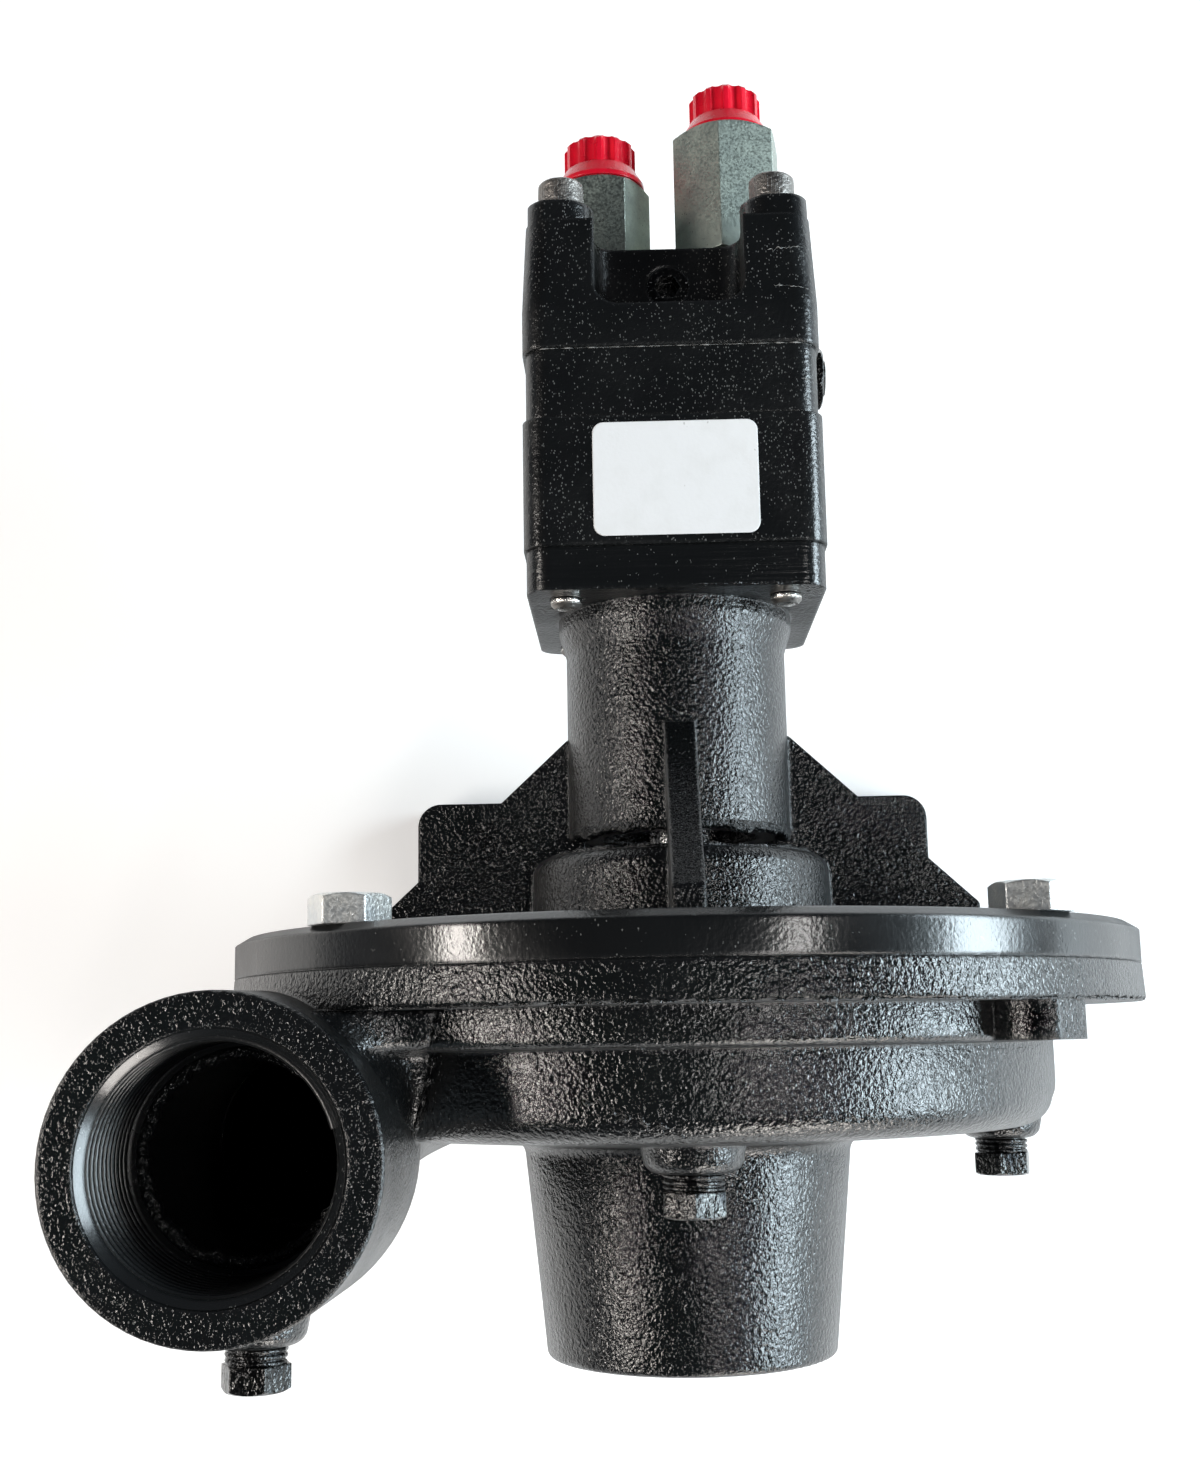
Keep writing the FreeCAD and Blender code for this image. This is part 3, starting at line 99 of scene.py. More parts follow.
def at(x: float, y: float, z: float) -> Vector:
    """A point given from the shaft line and the casing joint, in the row frame in metres."""
    return Vector((x * MM, (y + JOINT_PLACE) * MM, (z + SHAFT_HEIGHT) * MM))


def tinted(colour: tuple, gain: float, lift: float = 0.0) -> tuple:
    """A colour made darker or paler."""
    return tuple(min(1.0, gain * part + lift) for part in colour[:3]) + (1.0,)


def drop(value: object, socket: NodeSocket, tree: NodeTree) -> None:
    """Fill one input, by a link where the value is a socket."""
    if isinstance(value, NodeSocket):
        tree.links.new(value, socket)
    else:
        socket.default_value = value


class Graph:
    """Adds and links nodes in one tree."""

    def __init__(self, tree: NodeTree) -> None:
        """Keep the tree that the nodes go into."""
        self.tree = tree

    def add(self, kind: str, **settings: object) -> Node:
        """Add a node and set its properties."""
        node = self.tree.nodes.new(kind)
        for name, value in settings.items():
            setattr(node, name, value)
        return node

    def feed(self, node: Node, **inputs: object) -> Node:
        """Fill a node's inputs, named with underscores for spaces, by a link or a value."""
        for name, value in inputs.items():
            drop(value, node.inputs[name.replace("_", " ")], self.tree)
        return node

    def put(self, kind: str, settings: Optional[dict] = None, **inputs: object) -> object:
        """Add a node, fill its inputs and give its outputs."""
        return self.feed(self.add(kind, **(settings or {})), **inputs).outputs

    def math(self, operation: str, first: object, second: object = 0.0,
             clamp: bool = False) -> NodeSocket:
        """The result of a Math node."""
        node = self.add("ShaderNodeMath", operation=operation, use_clamp=clamp)
        drop(first, node.inputs[0], self.tree)
        drop(second, node.inputs[1], self.tree)
        return node.outputs[0]

    def total(self, *shares: tuple) -> NodeSocket:
        """The sum of (value, weight) pairs."""
        whole = None
        for value, weight in shares:
            part = self.math("MULTIPLY", value, weight)
            whole = part if whole is None else self.math("ADD", whole, part)
        return whole

    def noise(self, vector: object, scale: object, detail: float = 2.0, rough: float = 0.5,
              twist: float = 0.0) -> NodeSocket:
        """A noise between 0 and 1."""
        return self.put("ShaderNodeTexNoise", Vector=vector, Scale=scale, Detail=detail,
                        Roughness=rough, Distortion=twist)["Fac"]

    def cells(self, vector: object, scale: object, feature: str = "F1") -> NodeSocket:
        """The distance to the nearest of many scattered points."""
        return self.put("ShaderNodeTexVoronoi", {"feature": feature}, Vector=vector,
                        Scale=scale)["Distance"]

    def stretched(self, vector: object, scale: tuple) -> NodeSocket:
        """Coordinates scaled by a different amount along each axis."""
        return self.put("ShaderNodeMapping", Vector=vector, Scale=scale)["Vector"]

    def along(self, vector: object, axis: str) -> NodeSocket:
        """One coordinate of a vector."""
        return self.put("ShaderNodeSeparateXYZ", Vector=vector)[axis]

    def span(self, value: object, low: float, high: float, out_low: float = 0.0,
             out_high: float = 1.0) -> NodeSocket:
        """Map a range of a value to another range, held at its ends."""
        return self.put("ShaderNodeMapRange", {"clamp": True}, Value=value, From_Min=low,
                        From_Max=high, To_Min=out_low, To_Max=out_high)["Result"]

    def blend(self, share: object, first: object, second: object) -> NodeSocket:
        """Mix two colours."""
        node = self.add("ShaderNodeMix", data_type="RGBA")
        for index, value in ((0, share), (6, first), (7, second)):
            drop(value, node.inputs[index], self.tree)
        return node.outputs[2]

    def group(self, tree: NodeTree, **inputs: object) -> object:
        """Place a shared effect, fill its inputs and give its outputs."""
        return self.put("ShaderNodeGroup", {"node_tree": tree}, **inputs)

    def bump(self, height: object, distance: float,
             normal: Optional[object] = None) -> NodeSocket:
        """A normal tilted by a height."""
        node = self.feed(self.add("ShaderNodeBump"), Height=height, Distance=distance, Strength=1.0)
        if normal is not None:
            drop(normal, node.inputs["Normal"], self.tree)
        return node.outputs["Normal"]


@dataclass
class Surface:
    """A new material with its nodes at hand."""

    name: str
    material: Material = field(init=False)
    graph: Graph = field(init=False)
    shader: Node = field(init=False)
    place: NodeSocket = field(init=False)

    def __post_init__(self) -> None:
        """Make the material and find its shader."""
        self.material = bpy.data.materials.new(self.name)
        self.material.use_nodes = True
        self.graph = Graph(self.material.node_tree)
        self.shader = self.material.node_tree.nodes["Principled BSDF"]
        self.place = self.graph.put("ShaderNodeTexCoord")["Object"]

    def fixed(self, **values: float) -> None:
        """Set inputs that are the same all over the surface."""
        for name, value in values.items():
            self.shader.inputs[name.replace("_", " ")].default_value = value

    def finish(self, colour: object, rough: object, normal: object) -> None:
        """Join the pattern to the shader."""
        self.graph.feed(self.shader, Base_Color=colour, Roughness=rough, Normal=normal)


def make_effect(name: str, inputs: Sequence[tuple], outputs: Sequence[tuple],
                build: Callable[[Graph, object, Node], None]) -> NodeTree:
    """Build a shader node group once.

    Args:
        name: the group's name.
        inputs: (name, socket type, default) of each input.
        outputs: (name, socket type) of each output.
        build: fills the group between its inputs and its output node.

    Returns:
        The group's tree.
    """
    tree = bpy.data.node_groups.new(name, "ShaderNodeTree")
    for label, kind, default in inputs:
        socket = tree.interface.new_socket(name=label, in_out="INPUT", socket_type=kind)
        if default is not None:
            socket.default_value = default
    for label, kind in outputs:
        tree.interface.new_socket(name=label, in_out="OUTPUT", socket_type=kind)
    graph = Graph(tree)
    build(graph, graph.add("NodeGroupInput").outputs, graph.add("NodeGroupOutput"))
    return tree


def build_cast_grain(graph: Graph, given: object, out: Node) -> None:
    """Sand-cast skin under paint: wrinkled lumps, finer grains and a slow swell."""
    place = given["Vector"]
    size = given["Scale"]
    lumps = graph.noise(place, size, 1.5, 0.5, 0.5)
    fine = graph.noise(place, graph.math("MULTIPLY", size, 2.6), 1.0, 0.5, 0.4)
    grains = graph.cells(place, graph.math("MULTIPLY", size, 0.9), "SMOOTH_F1")
    broad = graph.noise(place, graph.math("MULTIPLY", size, 0.06), 2.0, 0.5)
    height = graph.total((lumps, 0.8), (grains, 0.45), (fine, 0.22), (broad, 1.2))
    graph.feed(out, Height=height, Lumps=graph.span(lumps, 0.35, 0.65),
               Broad=graph.span(broad, 0.35, 0.65))


def build_specks(graph: Graph, given: object, out: Node) -> None:
    """Scattered specks, thicker in some places: dust on the sticker, dark pits on metal, and dust
    with painted glints on cast paint.
    """
    place = given["Vector"]
    size = given["Scale"]
    squeezed = graph.stretched(place, (1.0, 0.62, 1.0))
    dots = graph.span(graph.cells(squeezed, size), 0.16, 0.30, 1.0, 0.0)
    chance = graph.noise(place, graph.math("MULTIPLY", size, 0.41), 1.0, 0.5)
    patch = graph.noise(place, graph.math("MULTIPLY", size, 0.03), 2.0, 0.5)
    limit = graph.math("SUBTRACT", 0.80, graph.math("MULTIPLY", given["Amount"], patch))
    kept = graph.math("GREATER_THAN", chance, limit)
    graph.feed(out, Mask=graph.math("MULTIPLY", dots, kept))


def build_soft_edge(graph: Graph, given: object, out: Node) -> None:
    """Rounded corners, and where they are."""
    soft = graph.put("ShaderNodeBevel", {"samples": 6}, Radius=given["Radius"])["Normal"]
    dot = graph.add("ShaderNodeVectorMath", operation="DOT_PRODUCT")
    drop(soft, dot.inputs[0], graph.tree)
    drop(graph.put("ShaderNodeNewGeometry")["Normal"], dot.inputs[1], graph.tree)
    graph.feed(out, Normal=soft, Edge=graph.span(dot.outputs["Value"], 0.80, 0.995, 1.0, 0.0))


@dataclass(frozen=True)
class Effects:
    """The node groups that several finishes share."""

    cast_grain: NodeTree
    specks: NodeTree
    soft_edge: NodeTree


def build_effects() -> Effects:
    """Build every shared effect once."""
    place = ("Vector", ARROW, None)
    scale = ("Scale", NUMBER, 900.0)
    grain = make_effect("cast_grain", [place, scale],
                        [("Height", NUMBER), ("Lumps", NUMBER), ("Broad", NUMBER)],
                        build_cast_grain)
    specks = make_effect("scattered_specks", [place, scale, ("Amount", NUMBER, 0.3)],
                         [("Mask", NUMBER)], build_specks)
    edge = make_effect("soft_edge", [("Radius", NUMBER, 0.0008)],
                       [("Normal", ARROW), ("Edge", NUMBER)], build_soft_edge)
    return Effects(grain, specks, edge)


@dataclass(frozen=True)
class Finish:
    """A finish, made once as one material."""

    name: str

    def build(self, effects: Effects) -> Material:
        """Make the material.

        Args:
            effects: the shared node groups.

        Returns:
            The finished material.
        """
        surface = Surface(self.name)
        self.paint(surface, surface.graph, effects)
        return surface.material

    def paint(self, surface: Surface, graph: Graph, effects: Effects) -> None:
        """Join the pattern to the surface; each kind of finish has its own."""
        raise NotImplementedError


@dataclass(frozen=True)
class CastPaint(Finish):
    """Gloss black paint over a cast skin, with zones that were machined before painting."""

    colour: tuple = (0.0040, 0.0046, 0.0050, 1.0)
    # pale speck colour: partly dust, partly painted glints on the cast grain
    dust: tuple = (0.17, 0.175, 0.17, 1.0)
    dust_and_glint_share: float = 0.7
    worn_share: float = 0.10
    specular: float = 0.7
    rough_low: float = 0.09
    rough_high: float = 0.15
    rough_aside: float = 0.35
    grain: float = 1350.0
    depth: float = 0.00027
    bored_rough: float = 0.14
    bored_blur: float = 0.0004
    speck_scale: float = 2000.0
    speck_amount: float = 0.34
    edge_radius: float = 0.0011
    turned_zone: Optional[tuple] = None
    turned_grooves: tuple = (700.0, 25.0, 700.0)
    turned_share: float = 0.05
    brushed_zone: Optional[tuple] = None
    brushed_grooves: tuple = (45.0, 1300.0, 900.0)
    brushed_share: float = 0.55
    bored_zone: Optional[tuple] = None
    zone_depth: float = 0.10
    zone_rough: float = 0.08
    zone_blur: float = 0.0002

    def zone(self, surface: Surface, limits: tuple) -> NodeSocket:
        """A mask that is 1 between two places along the shaft."""
        graph = surface.graph
        along = graph.along(surface.place, "Y")
        low, high = ((limit + JOINT_PLACE) * MM for limit in limits)
        blur = self.zone_blur
        return graph.math("MULTIPLY", graph.span(along, low - blur, low + blur),
                          graph.span(along, high - blur, high + blur, 1.0, 0.0))

    def bored(self, surface: Surface) -> NodeSocket:
        """A mask that is near 0 in the upright bore, where the skin was cut away, and 1 outside."""
        graph = surface.graph
        x, y, radius = (value * MM for value in self.bored_zone)
        across = graph.math("SUBTRACT", graph.along(surface.place, "X"), x)
        along = graph.math("SUBTRACT", graph.along(surface.place, "Y"), y + JOINT_PLACE * MM)
        reach = graph.math("SQRT", graph.math("ADD", graph.math("MULTIPLY", across, across),
                                              graph.math("MULTIPLY", along, along)))
        return graph.span(reach, radius, radius + self.bored_blur, 0.05, 1.0)

    def paint(self, surface: Surface, graph: Graph, effects: Effects) -> None:
        """A grained skin with pale specks that are partly dust and partly painted glints, smoother
        where it was machined and duller at a slant.
        """
        grain = graph.group(effects.cast_grain, Vector=surface.place, Scale=self.grain)
        specks = graph.group(effects.specks, Vector=surface.place, Scale=self.speck_scale,
                             Amount=self.speck_amount)
        edge = graph.group(effects.soft_edge, Radius=self.edge_radius)
        height = grain["Height"]
        rough = graph.span(grain["Broad"], 0.0, 1.0, self.rough_low, self.rough_high)
        if self.bored_zone is not None:
            cast = self.bored(surface)
            height = graph.math("MULTIPLY", height, cast)
            rough = graph.total((rough, 1.0), (graph.math("SUBTRACT", 1.0, cast), self.bored_rough))
        for limits, grooves, groove_share in (
                (self.turned_zone, self.turned_grooves, self.turned_share),
                (self.brushed_zone, self.brushed_grooves, self.brushed_share)):
            if limits is None:
                continue
            share = self.zone(surface, limits)
            lines = graph.noise(graph.stretched(surface.place, grooves), 1.0, 3.0, 0.6)
            smooth = graph.total((grain["Height"], self.zone_depth), (lines, groove_share))
            height = graph.total((height, graph.math("SUBTRACT", 1.0, share)), (smooth, share))
            rough = graph.total((rough, 1.0), (share, self.zone_rough))
        slant = graph.put("ShaderNodeLayerWeight")["Facing"]
        aside = graph.span(slant, 0.6, 1.0, 0.0, self.rough_aside)
        rough = graph.math("ADD", rough, aside, clamp=True)
        # pale specks blended in: partly dust, partly painted glints
        colour = graph.blend(graph.math("MULTIPLY", specks["Mask"], self.dust_and_glint_share),
                             self.colour, self.dust)
        worn = graph.math("MULTIPLY", edge["Edge"], grain["Lumps"])
        colour = graph.blend(graph.math("MULTIPLY", worn, self.worn_share), colour, self.dust)
        surface.fixed(Specular_IOR_Level=self.specular)
        surface.finish(colour, rough, graph.bump(height, self.depth, edge["Normal"]))


@dataclass(frozen=True)
class Metal(Finish):
    """A bare or plated metal with fine grain, cloudy plating and brighter edges."""

    colour: tuple
    shade: tuple
    rough: float = 0.3
    grain: float = 1500.0
    depth: float = 0.0002
    edge_radius: float = 0.0003
    edge_gain: float = 0.5
    speck_amount: float = 0.2
    metallic: float = 1.0
    cloud_size: float = 0.12

    def paint(self, surface: Surface, graph: Graph, effects: Effects) -> None:
        """Two shades in clouds, with dark pits and bright edges."""
        grain = graph.group(effects.cast_grain, Vector=surface.place, Scale=self.grain)
        specks = graph.group(effects.specks, Vector=surface.place, Scale=self.grain,
                             Amount=self.speck_amount)
        edge = graph.group(effects.soft_edge, Radius=self.edge_radius)
        cloud = graph.noise(surface.place, self.grain * self.cloud_size, 3.0, 0.6)
        colour = graph.blend(graph.span(cloud, 0.35, 0.65), self.shade, self.colour)
        colour = graph.blend(graph.math("MULTIPLY", specks["Mask"], 0.8), colour,
                             tinted(self.shade, 0.35))
        colour = graph.blend(graph.math("MULTIPLY", edge["Edge"], self.edge_gain), colour,
                             tinted(self.colour, 1.5, 0.1))
        rough = graph.span(grain["Lumps"], 0.0, 1.0, self.rough * 0.8, self.rough * 1.3)
        surface.fixed(Metallic=self.metallic)
        surface.finish(colour, rough, graph.bump(grain["Height"], self.depth,
                                                 edge["Normal"]))


@dataclass(frozen=True)
class Moulding(Finish):
    """A moulded plastic, rubber, carbon or ceramic."""

    colour: tuple
    rough: float = 0.3
    coat: float = 0.0
    coat_rough: float = 0.1
    edge_radius: float = 0.0004
    broad_scale: float = 220.0
    fine_scale: float = 2200.0
    depth: float = 0.00006

    def paint(self, surface: Surface, graph: Graph, effects: Effects) -> None:
        """A slow change of shade with paler edges."""
        broad = graph.noise(surface.place, self.broad_scale, 3.0, 0.5)
        edge = graph.group(effects.soft_edge, Radius=self.edge_radius)
        fine = graph.noise(surface.place, self.fine_scale, 2.0, 0.5)
        colour = graph.blend(graph.span(broad, 0.3, 0.7), tinted(self.colour, 0.8), self.colour)
        colour = graph.blend(graph.math("MULTIPLY", edge["Edge"], 0.35), colour,
                             tinted(self.colour, 1.25, 0.01))
        rough = graph.span(broad, 0.3, 0.7, self.rough * 0.8, self.rough * 1.2)
        surface.fixed(Coat_Weight=self.coat, Coat_Roughness=self.coat_rough)
        surface.finish(colour, rough, graph.bump(fine, self.depth, edge["Normal"]))


@dataclass(frozen=True)
class Vinyl(Finish):
    """A sticker's bare white vinyl, with faint mottling and dust."""

    colour: tuple = (0.86, 0.86, 0.865, 1.0)
    stain: tuple = (0.74, 0.735, 0.72, 1.0)
    dust: tuple = (0.3, 0.28, 0.26, 1.0)
    stain_share: float = 0.45
    depth: float = 0.00004

    def paint(self, surface: Surface, graph: Graph, effects: Effects) -> None:
        """Mottled white with a few specks."""
        cloud = graph.noise(surface.place, 160.0, 4.0, 0.6)
        mottle = graph.span(cloud, 0.45, 0.8, 0.0, self.stain_share)
        specks = graph.group(effects.specks, Vector=surface.place, Scale=1300.0, Amount=0.12)
        colour = graph.blend(mottle, self.colour, self.stain)
        colour = graph.blend(graph.math("MULTIPLY", specks["Mask"], 0.5), colour, self.dust)
        fine = graph.noise(surface.place, 1400.0, 2.0, 0.5)
        surface.finish(colour, graph.span(mottle, 0.0, self.stain_share, 0.38, 0.5),
                       graph.bump(fine, self.depth))


class Coat(Enum):
    """Every finish on the pump."""

    CASING = CastPaint("casing_paint", bored_zone=(-78.7, -31.8, 22.0))
    BRACKET = CastPaint("bracket_paint", turned_zone=(0.0, 8.3), brushed_zone=(76.0, 85.5),
                        depth=0.00034)
    MOTOR = CastPaint("motor_paint", grain=1200.0, depth=0.00009, rough_low=0.2, rough_high=0.3,
                      speck_scale=1900.0, speck_amount=0.64)
    FLASH = CastPaint("flash_paint", grain=1300.0, depth=0.0010, rough_low=0.12, rough_high=0.22,
                      edge_radius=0.0002)
    # pale grey beads: partly chipped paint, partly painted glints along the motor's seam and edges
    CHIP_AND_GLINT = Moulding("worn_edge_and_glint", (0.34, 0.34, 0.33, 1.0), 0.5)
    THREAD = CastPaint("thread_paint", grain=1600.0, depth=0.00006, rough_low=0.28,
                       rough_high=0.36, speck_amount=0.2, edge_radius=0.0002)
    ZINC = Metal("bright_zinc", (0.84, 0.84, 0.80, 1.0), (0.66, 0.69, 0.70, 1.0), 0.36,
                 depth=0.00012, edge_radius=0.0006, metallic=0.8)
    SCREW = Metal("screw_steel", (0.33, 0.31, 0.29, 1.0), (0.22, 0.21, 0.20, 1.0), 0.42)
    BOLT_TIP = Metal("bolt_tip", (0.86, 0.84, 0.80, 1.0), (0.70, 0.69, 0.66, 1.0), 0.2)
    PLUG = Metal("dark_plug_steel", (0.075, 0.075, 0.073, 1.0), (0.022, 0.023, 0.025, 1.0), 0.18,
                 grain=1000.0, depth=0.0004, edge_radius=0.0005)
    ADAPTER = Metal("adapter_zinc", (0.42, 0.47, 0.42, 1.0), (0.31, 0.35, 0.32, 1.0), 0.46,
                    grain=1900.0, depth=0.00002, edge_radius=0.0004, edge_gain=0.9,
                    speck_amount=0.4)
    RED = Moulding("red_cap", (0.86, 0.006, 0.03, 1.0), 0.3, coat=0.3)
    GROUND = Metal("ground_steel", (0.62, 0.62, 0.62, 1.0), (0.5, 0.5, 0.5, 1.0), 0.22)
    ROTOR = Metal("rotor_steel", (0.46, 0.46, 0.47, 1.0), (0.38, 0.38, 0.39, 1.0), 0.32)
    SPRING = Metal("spring_steel", (0.6, 0.6, 0.61, 1.0), (0.5, 0.5, 0.5, 1.0), 0.25)
    IRON = Metal("impeller_iron", (0.2, 0.19, 0.18, 1.0), (0.13, 0.12, 0.115, 1.0), 0.5,
                 grain=900.0, depth=0.0008, metallic=0.6)
    BRONZE = Metal("bush_bronze", (0.62, 0.42, 0.2, 1.0), (0.5, 0.33, 0.15, 1.0), 0.3)
    RUBBER = Moulding("rubber", (0.014, 0.014, 0.014, 1.0), 0.6)
    CARBON = Moulding("seal_carbon", (0.045, 0.045, 0.05, 1.0), 0.35)
    CERAMIC = Moulding("seal_ceramic", (0.82, 0.81, 0.76, 1.0), 0.2)
    STICKER = Vinyl("sticker_vinyl")


def new_object(name: str, data: object) -> Object:
    """Put a new object into the scene."""
    obj = bpy.data.objects.new(name, data)
    bpy.context.scene.collection.objects.link(obj)
    return obj


class ShapeTree:
    """A Geometry Nodes tree with named inputs that ends in real faces and one material."""

    name: ClassVar[str] = "shape"
    sizes: ClassVar[Dict[str, float]] = {}

    def __init__(self) -> None:
        """Build the tree and its inputs."""
        self.tree = bpy.data.node_groups.new(self.name, "GeometryNodeTree")
        kinds = {"Geometry": "NodeSocketGeometry"}
        for label, size in self.sizes.items():
            kinds[label] = "NodeSocketInt" if isinstance(size, int) else NUMBER
        kinds.update(Place=ARROW, Turn=ARROW, Material="NodeSocketMaterial")
        face = self.tree.interface
        for label, kind in kinds.items():
            socket = face.new_socket(name=label, in_out="INPUT", socket_type=kind)
            if label in self.sizes:
                socket.default_value = self.sizes[label]
        face.new_socket(name="Geometry", in_out="OUTPUT", socket_type="NodeSocketGeometry")
        graph = Graph(self.tree)
        given = graph.add("NodeGroupInput").outputs
        moved = graph.put("GeometryNodeTransform", Geometry=self.shape(graph, given),
                          Translation=given["Place"], Rotation=given["Turn"])
        real = graph.put("GeometryNodeRealizeInstances", Geometry=moved[0])
        dressed = graph.put("GeometryNodeSetMaterial", Geometry=real[0],
                            Material=given["Material"])
        drop(dressed[0], graph.add("NodeGroupOutput").inputs[0], self.tree)

    def shape(self, graph: Graph, given: object) -> NodeSocket:
        """Build the shape about +Z from the origin; each tree has its own."""
        raise NotImplementedError

    def make(self, name: str, place: Vector, facing: Facing, material: Material,
             **sizes: object) -> Object:
        """Make one piece from the tree as a plain mesh.

        Args:
            name: the piece's name.
            place: its origin in the row frame, in metres.
            facing: the direction that its own +Z turns to.
            material: its finish.
            sizes: the tree's named inputs, with underscores for spaces.

        Returns:
            The object, whose modifier is gone again.
        """
        obj = new_object(name, bpy.data.meshes.new(name))
        modifier = obj.modifiers.new(name, "NODES")
        modifier.node_group = self.tree
        values = {key.replace("_", " "): value for key, value in sizes.items()}
        values.update(Place=place, Turn=Vector(facing.value), Material=material)
        for item in self.tree.interface.items_tree:
            if item.in_out == "INPUT" and item.name in values:
                modifier[item.identifier] = values[item.name]
        seen = obj.evaluated_get(bpy.context.evaluated_depsgraph_get())
        mesh = bpy.data.meshes.new_from_object(seen)
        obj.modifiers.clear()
        obj.data = mesh
        return obj


class ThreadTree(ShapeTree):
    """A screw thread: one ridge that winds round a bore or a shank."""

    name = "screw_thread"
    sizes = {"Start Radius": 0.02, "End Radius": 0.02, "Turns": 10.0, "Length": 0.02,
             "Ridge": 0.001}

    def shape(self, graph: Graph, given: object) -> NodeSocket:
        """A helix swept with a round section."""
        helix = graph.put("GeometryNodeCurveSpiral", Resolution=56, Rotations=given["Turns"],
                          Start_Radius=given["Start Radius"], End_Radius=given["End Radius"],
                          Height=given["Length"])
        level = graph.put("GeometryNodeSetCurveNormal", {"mode": "Z_UP"}, Curve=helix[0])
        section = graph.put("GeometryNodeCurvePrimitiveCircle", Resolution=10,
                            Radius=given["Ridge"])
        return graph.put("GeometryNodeCurveToMesh", Curve=level[0], Profile_Curve=section[0],
                         Fill_Caps=True)[0]


class KnurlTree(ShapeTree):
    """Straight knurling: many thin ridges round a screw head."""

    name = "knurl"
    sizes = {"Count": 40, "Radius": 0.005, "Height": 0.005, "Ridge": 0.0003}

    def shape(self, graph: Graph, given: object) -> NodeSocket:
        """Four-sided bars set round a circle, a corner outwards."""
        ring = graph.put("GeometryNodeMeshCircle", Vertices=given["Count"],
                         Radius=given["Radius"])
        bar = graph.put("GeometryNodeMeshCylinder", Vertices=4, Radius=given["Ridge"],
                        Depth=given["Height"])
        where = graph.put("GeometryNodeInputPosition")
        outwards = graph.put("FunctionNodeAlignRotationToVector",
                             {"axis": "X", "pivot_axis": "Z"}, Vector=where[0])
        return graph.put("GeometryNodeInstanceOnPoints", Points=ring[0], Instance=bar[0],
                         Rotation=outwards[0])[0]


class FlashTree(ShapeTree):
    """Casting flash: a thin broken bead along an arc."""

    name = "casting_flash"
    sizes = {"Radius": 0.09, "Start": 0.0, "Sweep": 1.0, "Thickness": 0.0003, "Wander": 0.0003,
             "Seed": 1.0}

    def shape(self, graph: Graph, given: object) -> NodeSocket:
        """An arc that wanders a little, swept with a round section whose size changes."""
        noisy = {"noise_dimensions": "4D"}
        arc = graph.put("GeometryNodeCurveArc", Resolution=260, Radius=given["Radius"],
                        Start_Angle=given["Start"], Sweep_Angle=given["Sweep"])
        pattern = graph.put("ShaderNodeTexNoise", noisy, W=given["Seed"], Scale=420.0, Detail=3.0)
        shift = graph.add("ShaderNodeVectorMath", operation="SUBTRACT")
        drop(pattern["Color"], shift.inputs[0], self.tree)
        drop((0.5, 0.5, 0.5), shift.inputs[1], self.tree)
        sized = graph.put("ShaderNodeVectorMath", {"operation": "SCALE"},
                          Vector=shift.outputs[0], Scale=given["Wander"])
        wandered = graph.put("GeometryNodeSetPosition", Geometry=arc[0], Offset=sized[0])
        swell = graph.put("ShaderNodeTexNoise", noisy, W=given["Seed"], Scale=260.0, Detail=2.0)
        bead = graph.put("GeometryNodeCurvePrimitiveCircle", Resolution=6,
                         Radius=given["Thickness"])
        return graph.put("GeometryNodeCurveToMesh", Curve=wandered[0], Profile_Curve=bead[0],
                         Fill_Caps=True, Scale=graph.span(swell["Fac"], 0.42, 0.62, 0.1, 1.3))[0]


@dataclass(frozen=True)
class Workshop:
    """The materials and the shape trees, made once."""

    coats: Dict[Coat, Material]
    thread: ThreadTree
    knurl: KnurlTree
    flash: FlashTree


def settle(obj: Object, material: Material, smooth: bool) -> Object:
    """Close a piece's seams, turn its faces outwards, finish it and fix it to the casing.

    Args:
        obj: the piece.
        material: its finish.
        smooth: whether its faces are shaded smooth.

    Returns:
        The same object.
    """
    mesh = obj.data
    tidy = bmesh.new()
    tidy.from_mesh(mesh)
    bmesh.ops.remove_doubles(tidy, verts=tidy.verts, dist=SAME_PLACE)
    bmesh.ops.recalc_face_normals(tidy, faces=tidy.faces)
    for face in tidy.faces:
        face.smooth = smooth
        face.material_index = 0
    tidy.to_mesh(mesh)
    tidy.free()
    mesh.materials.clear()
    mesh.materials.append(material)
    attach(obj, "casing")
    return obj


def loft(name: str, loops: Loops, ring: bool, ladder: bool) -> Object:
    """Make a skin through closed loops of points in the row frame.

    Args:
        name: the piece's name.
        loops: the loops, each with the same number of points.
        ring: whether the last loop joins the first; if not, both ends are capped.
        ladder: whether a cap is a row of four-sided faces across its loop, not a single face.

    Returns:
        The object.
    """
    count = len(loops[0])
    faces = []
    for row in range(len(loops) if ring else len(loops) - 1):
        base = row * count
        following = (row + 1) % len(loops) * count
        for index in range(count):
            after = (index + 1) % count
            faces.append((base + index, base + after, following + after, following + index))
    for base in () if ring else (0, (len(loops) - 1) * count):
        if ladder:
            last = base + count - 1
            faces += [(base + rung, base + rung + 1, last - rung - 1, last - rung)
                      for rung in range(count // 2 - 1)]
        else:
            faces.append(tuple(range(base, base + count)))
    mesh = bpy.data.meshes.new(name)
    mesh.from_pydata([tuple(point) for loop in loops for point in loop], [], faces)
    return new_object(name, mesh)


def around(steps: int) -> List[float]:
    """Angles spread evenly over a full turn."""
    return [2 * math.pi * step / steps for step in range(steps)]


def turned(section: Callable[[float], Sequence[tuple]],
           put: Callable[[float, float, float], Vector], steps: int) -> Loops:
    """The loops of a section of (radius, height) points, carried round a full turn."""
    return [[put(angle, radius, height) for radius, height in section(angle)]
            for angle in around(steps)]


def skin_below(node: str, x: float, y: float) -> Vector:
    """Where a line from above first meets a CAD node."""
    return frame["nodes"][node].ray_cast(at(x, y, ABOVE_ALL), STRAIGHT_DOWN)[1]


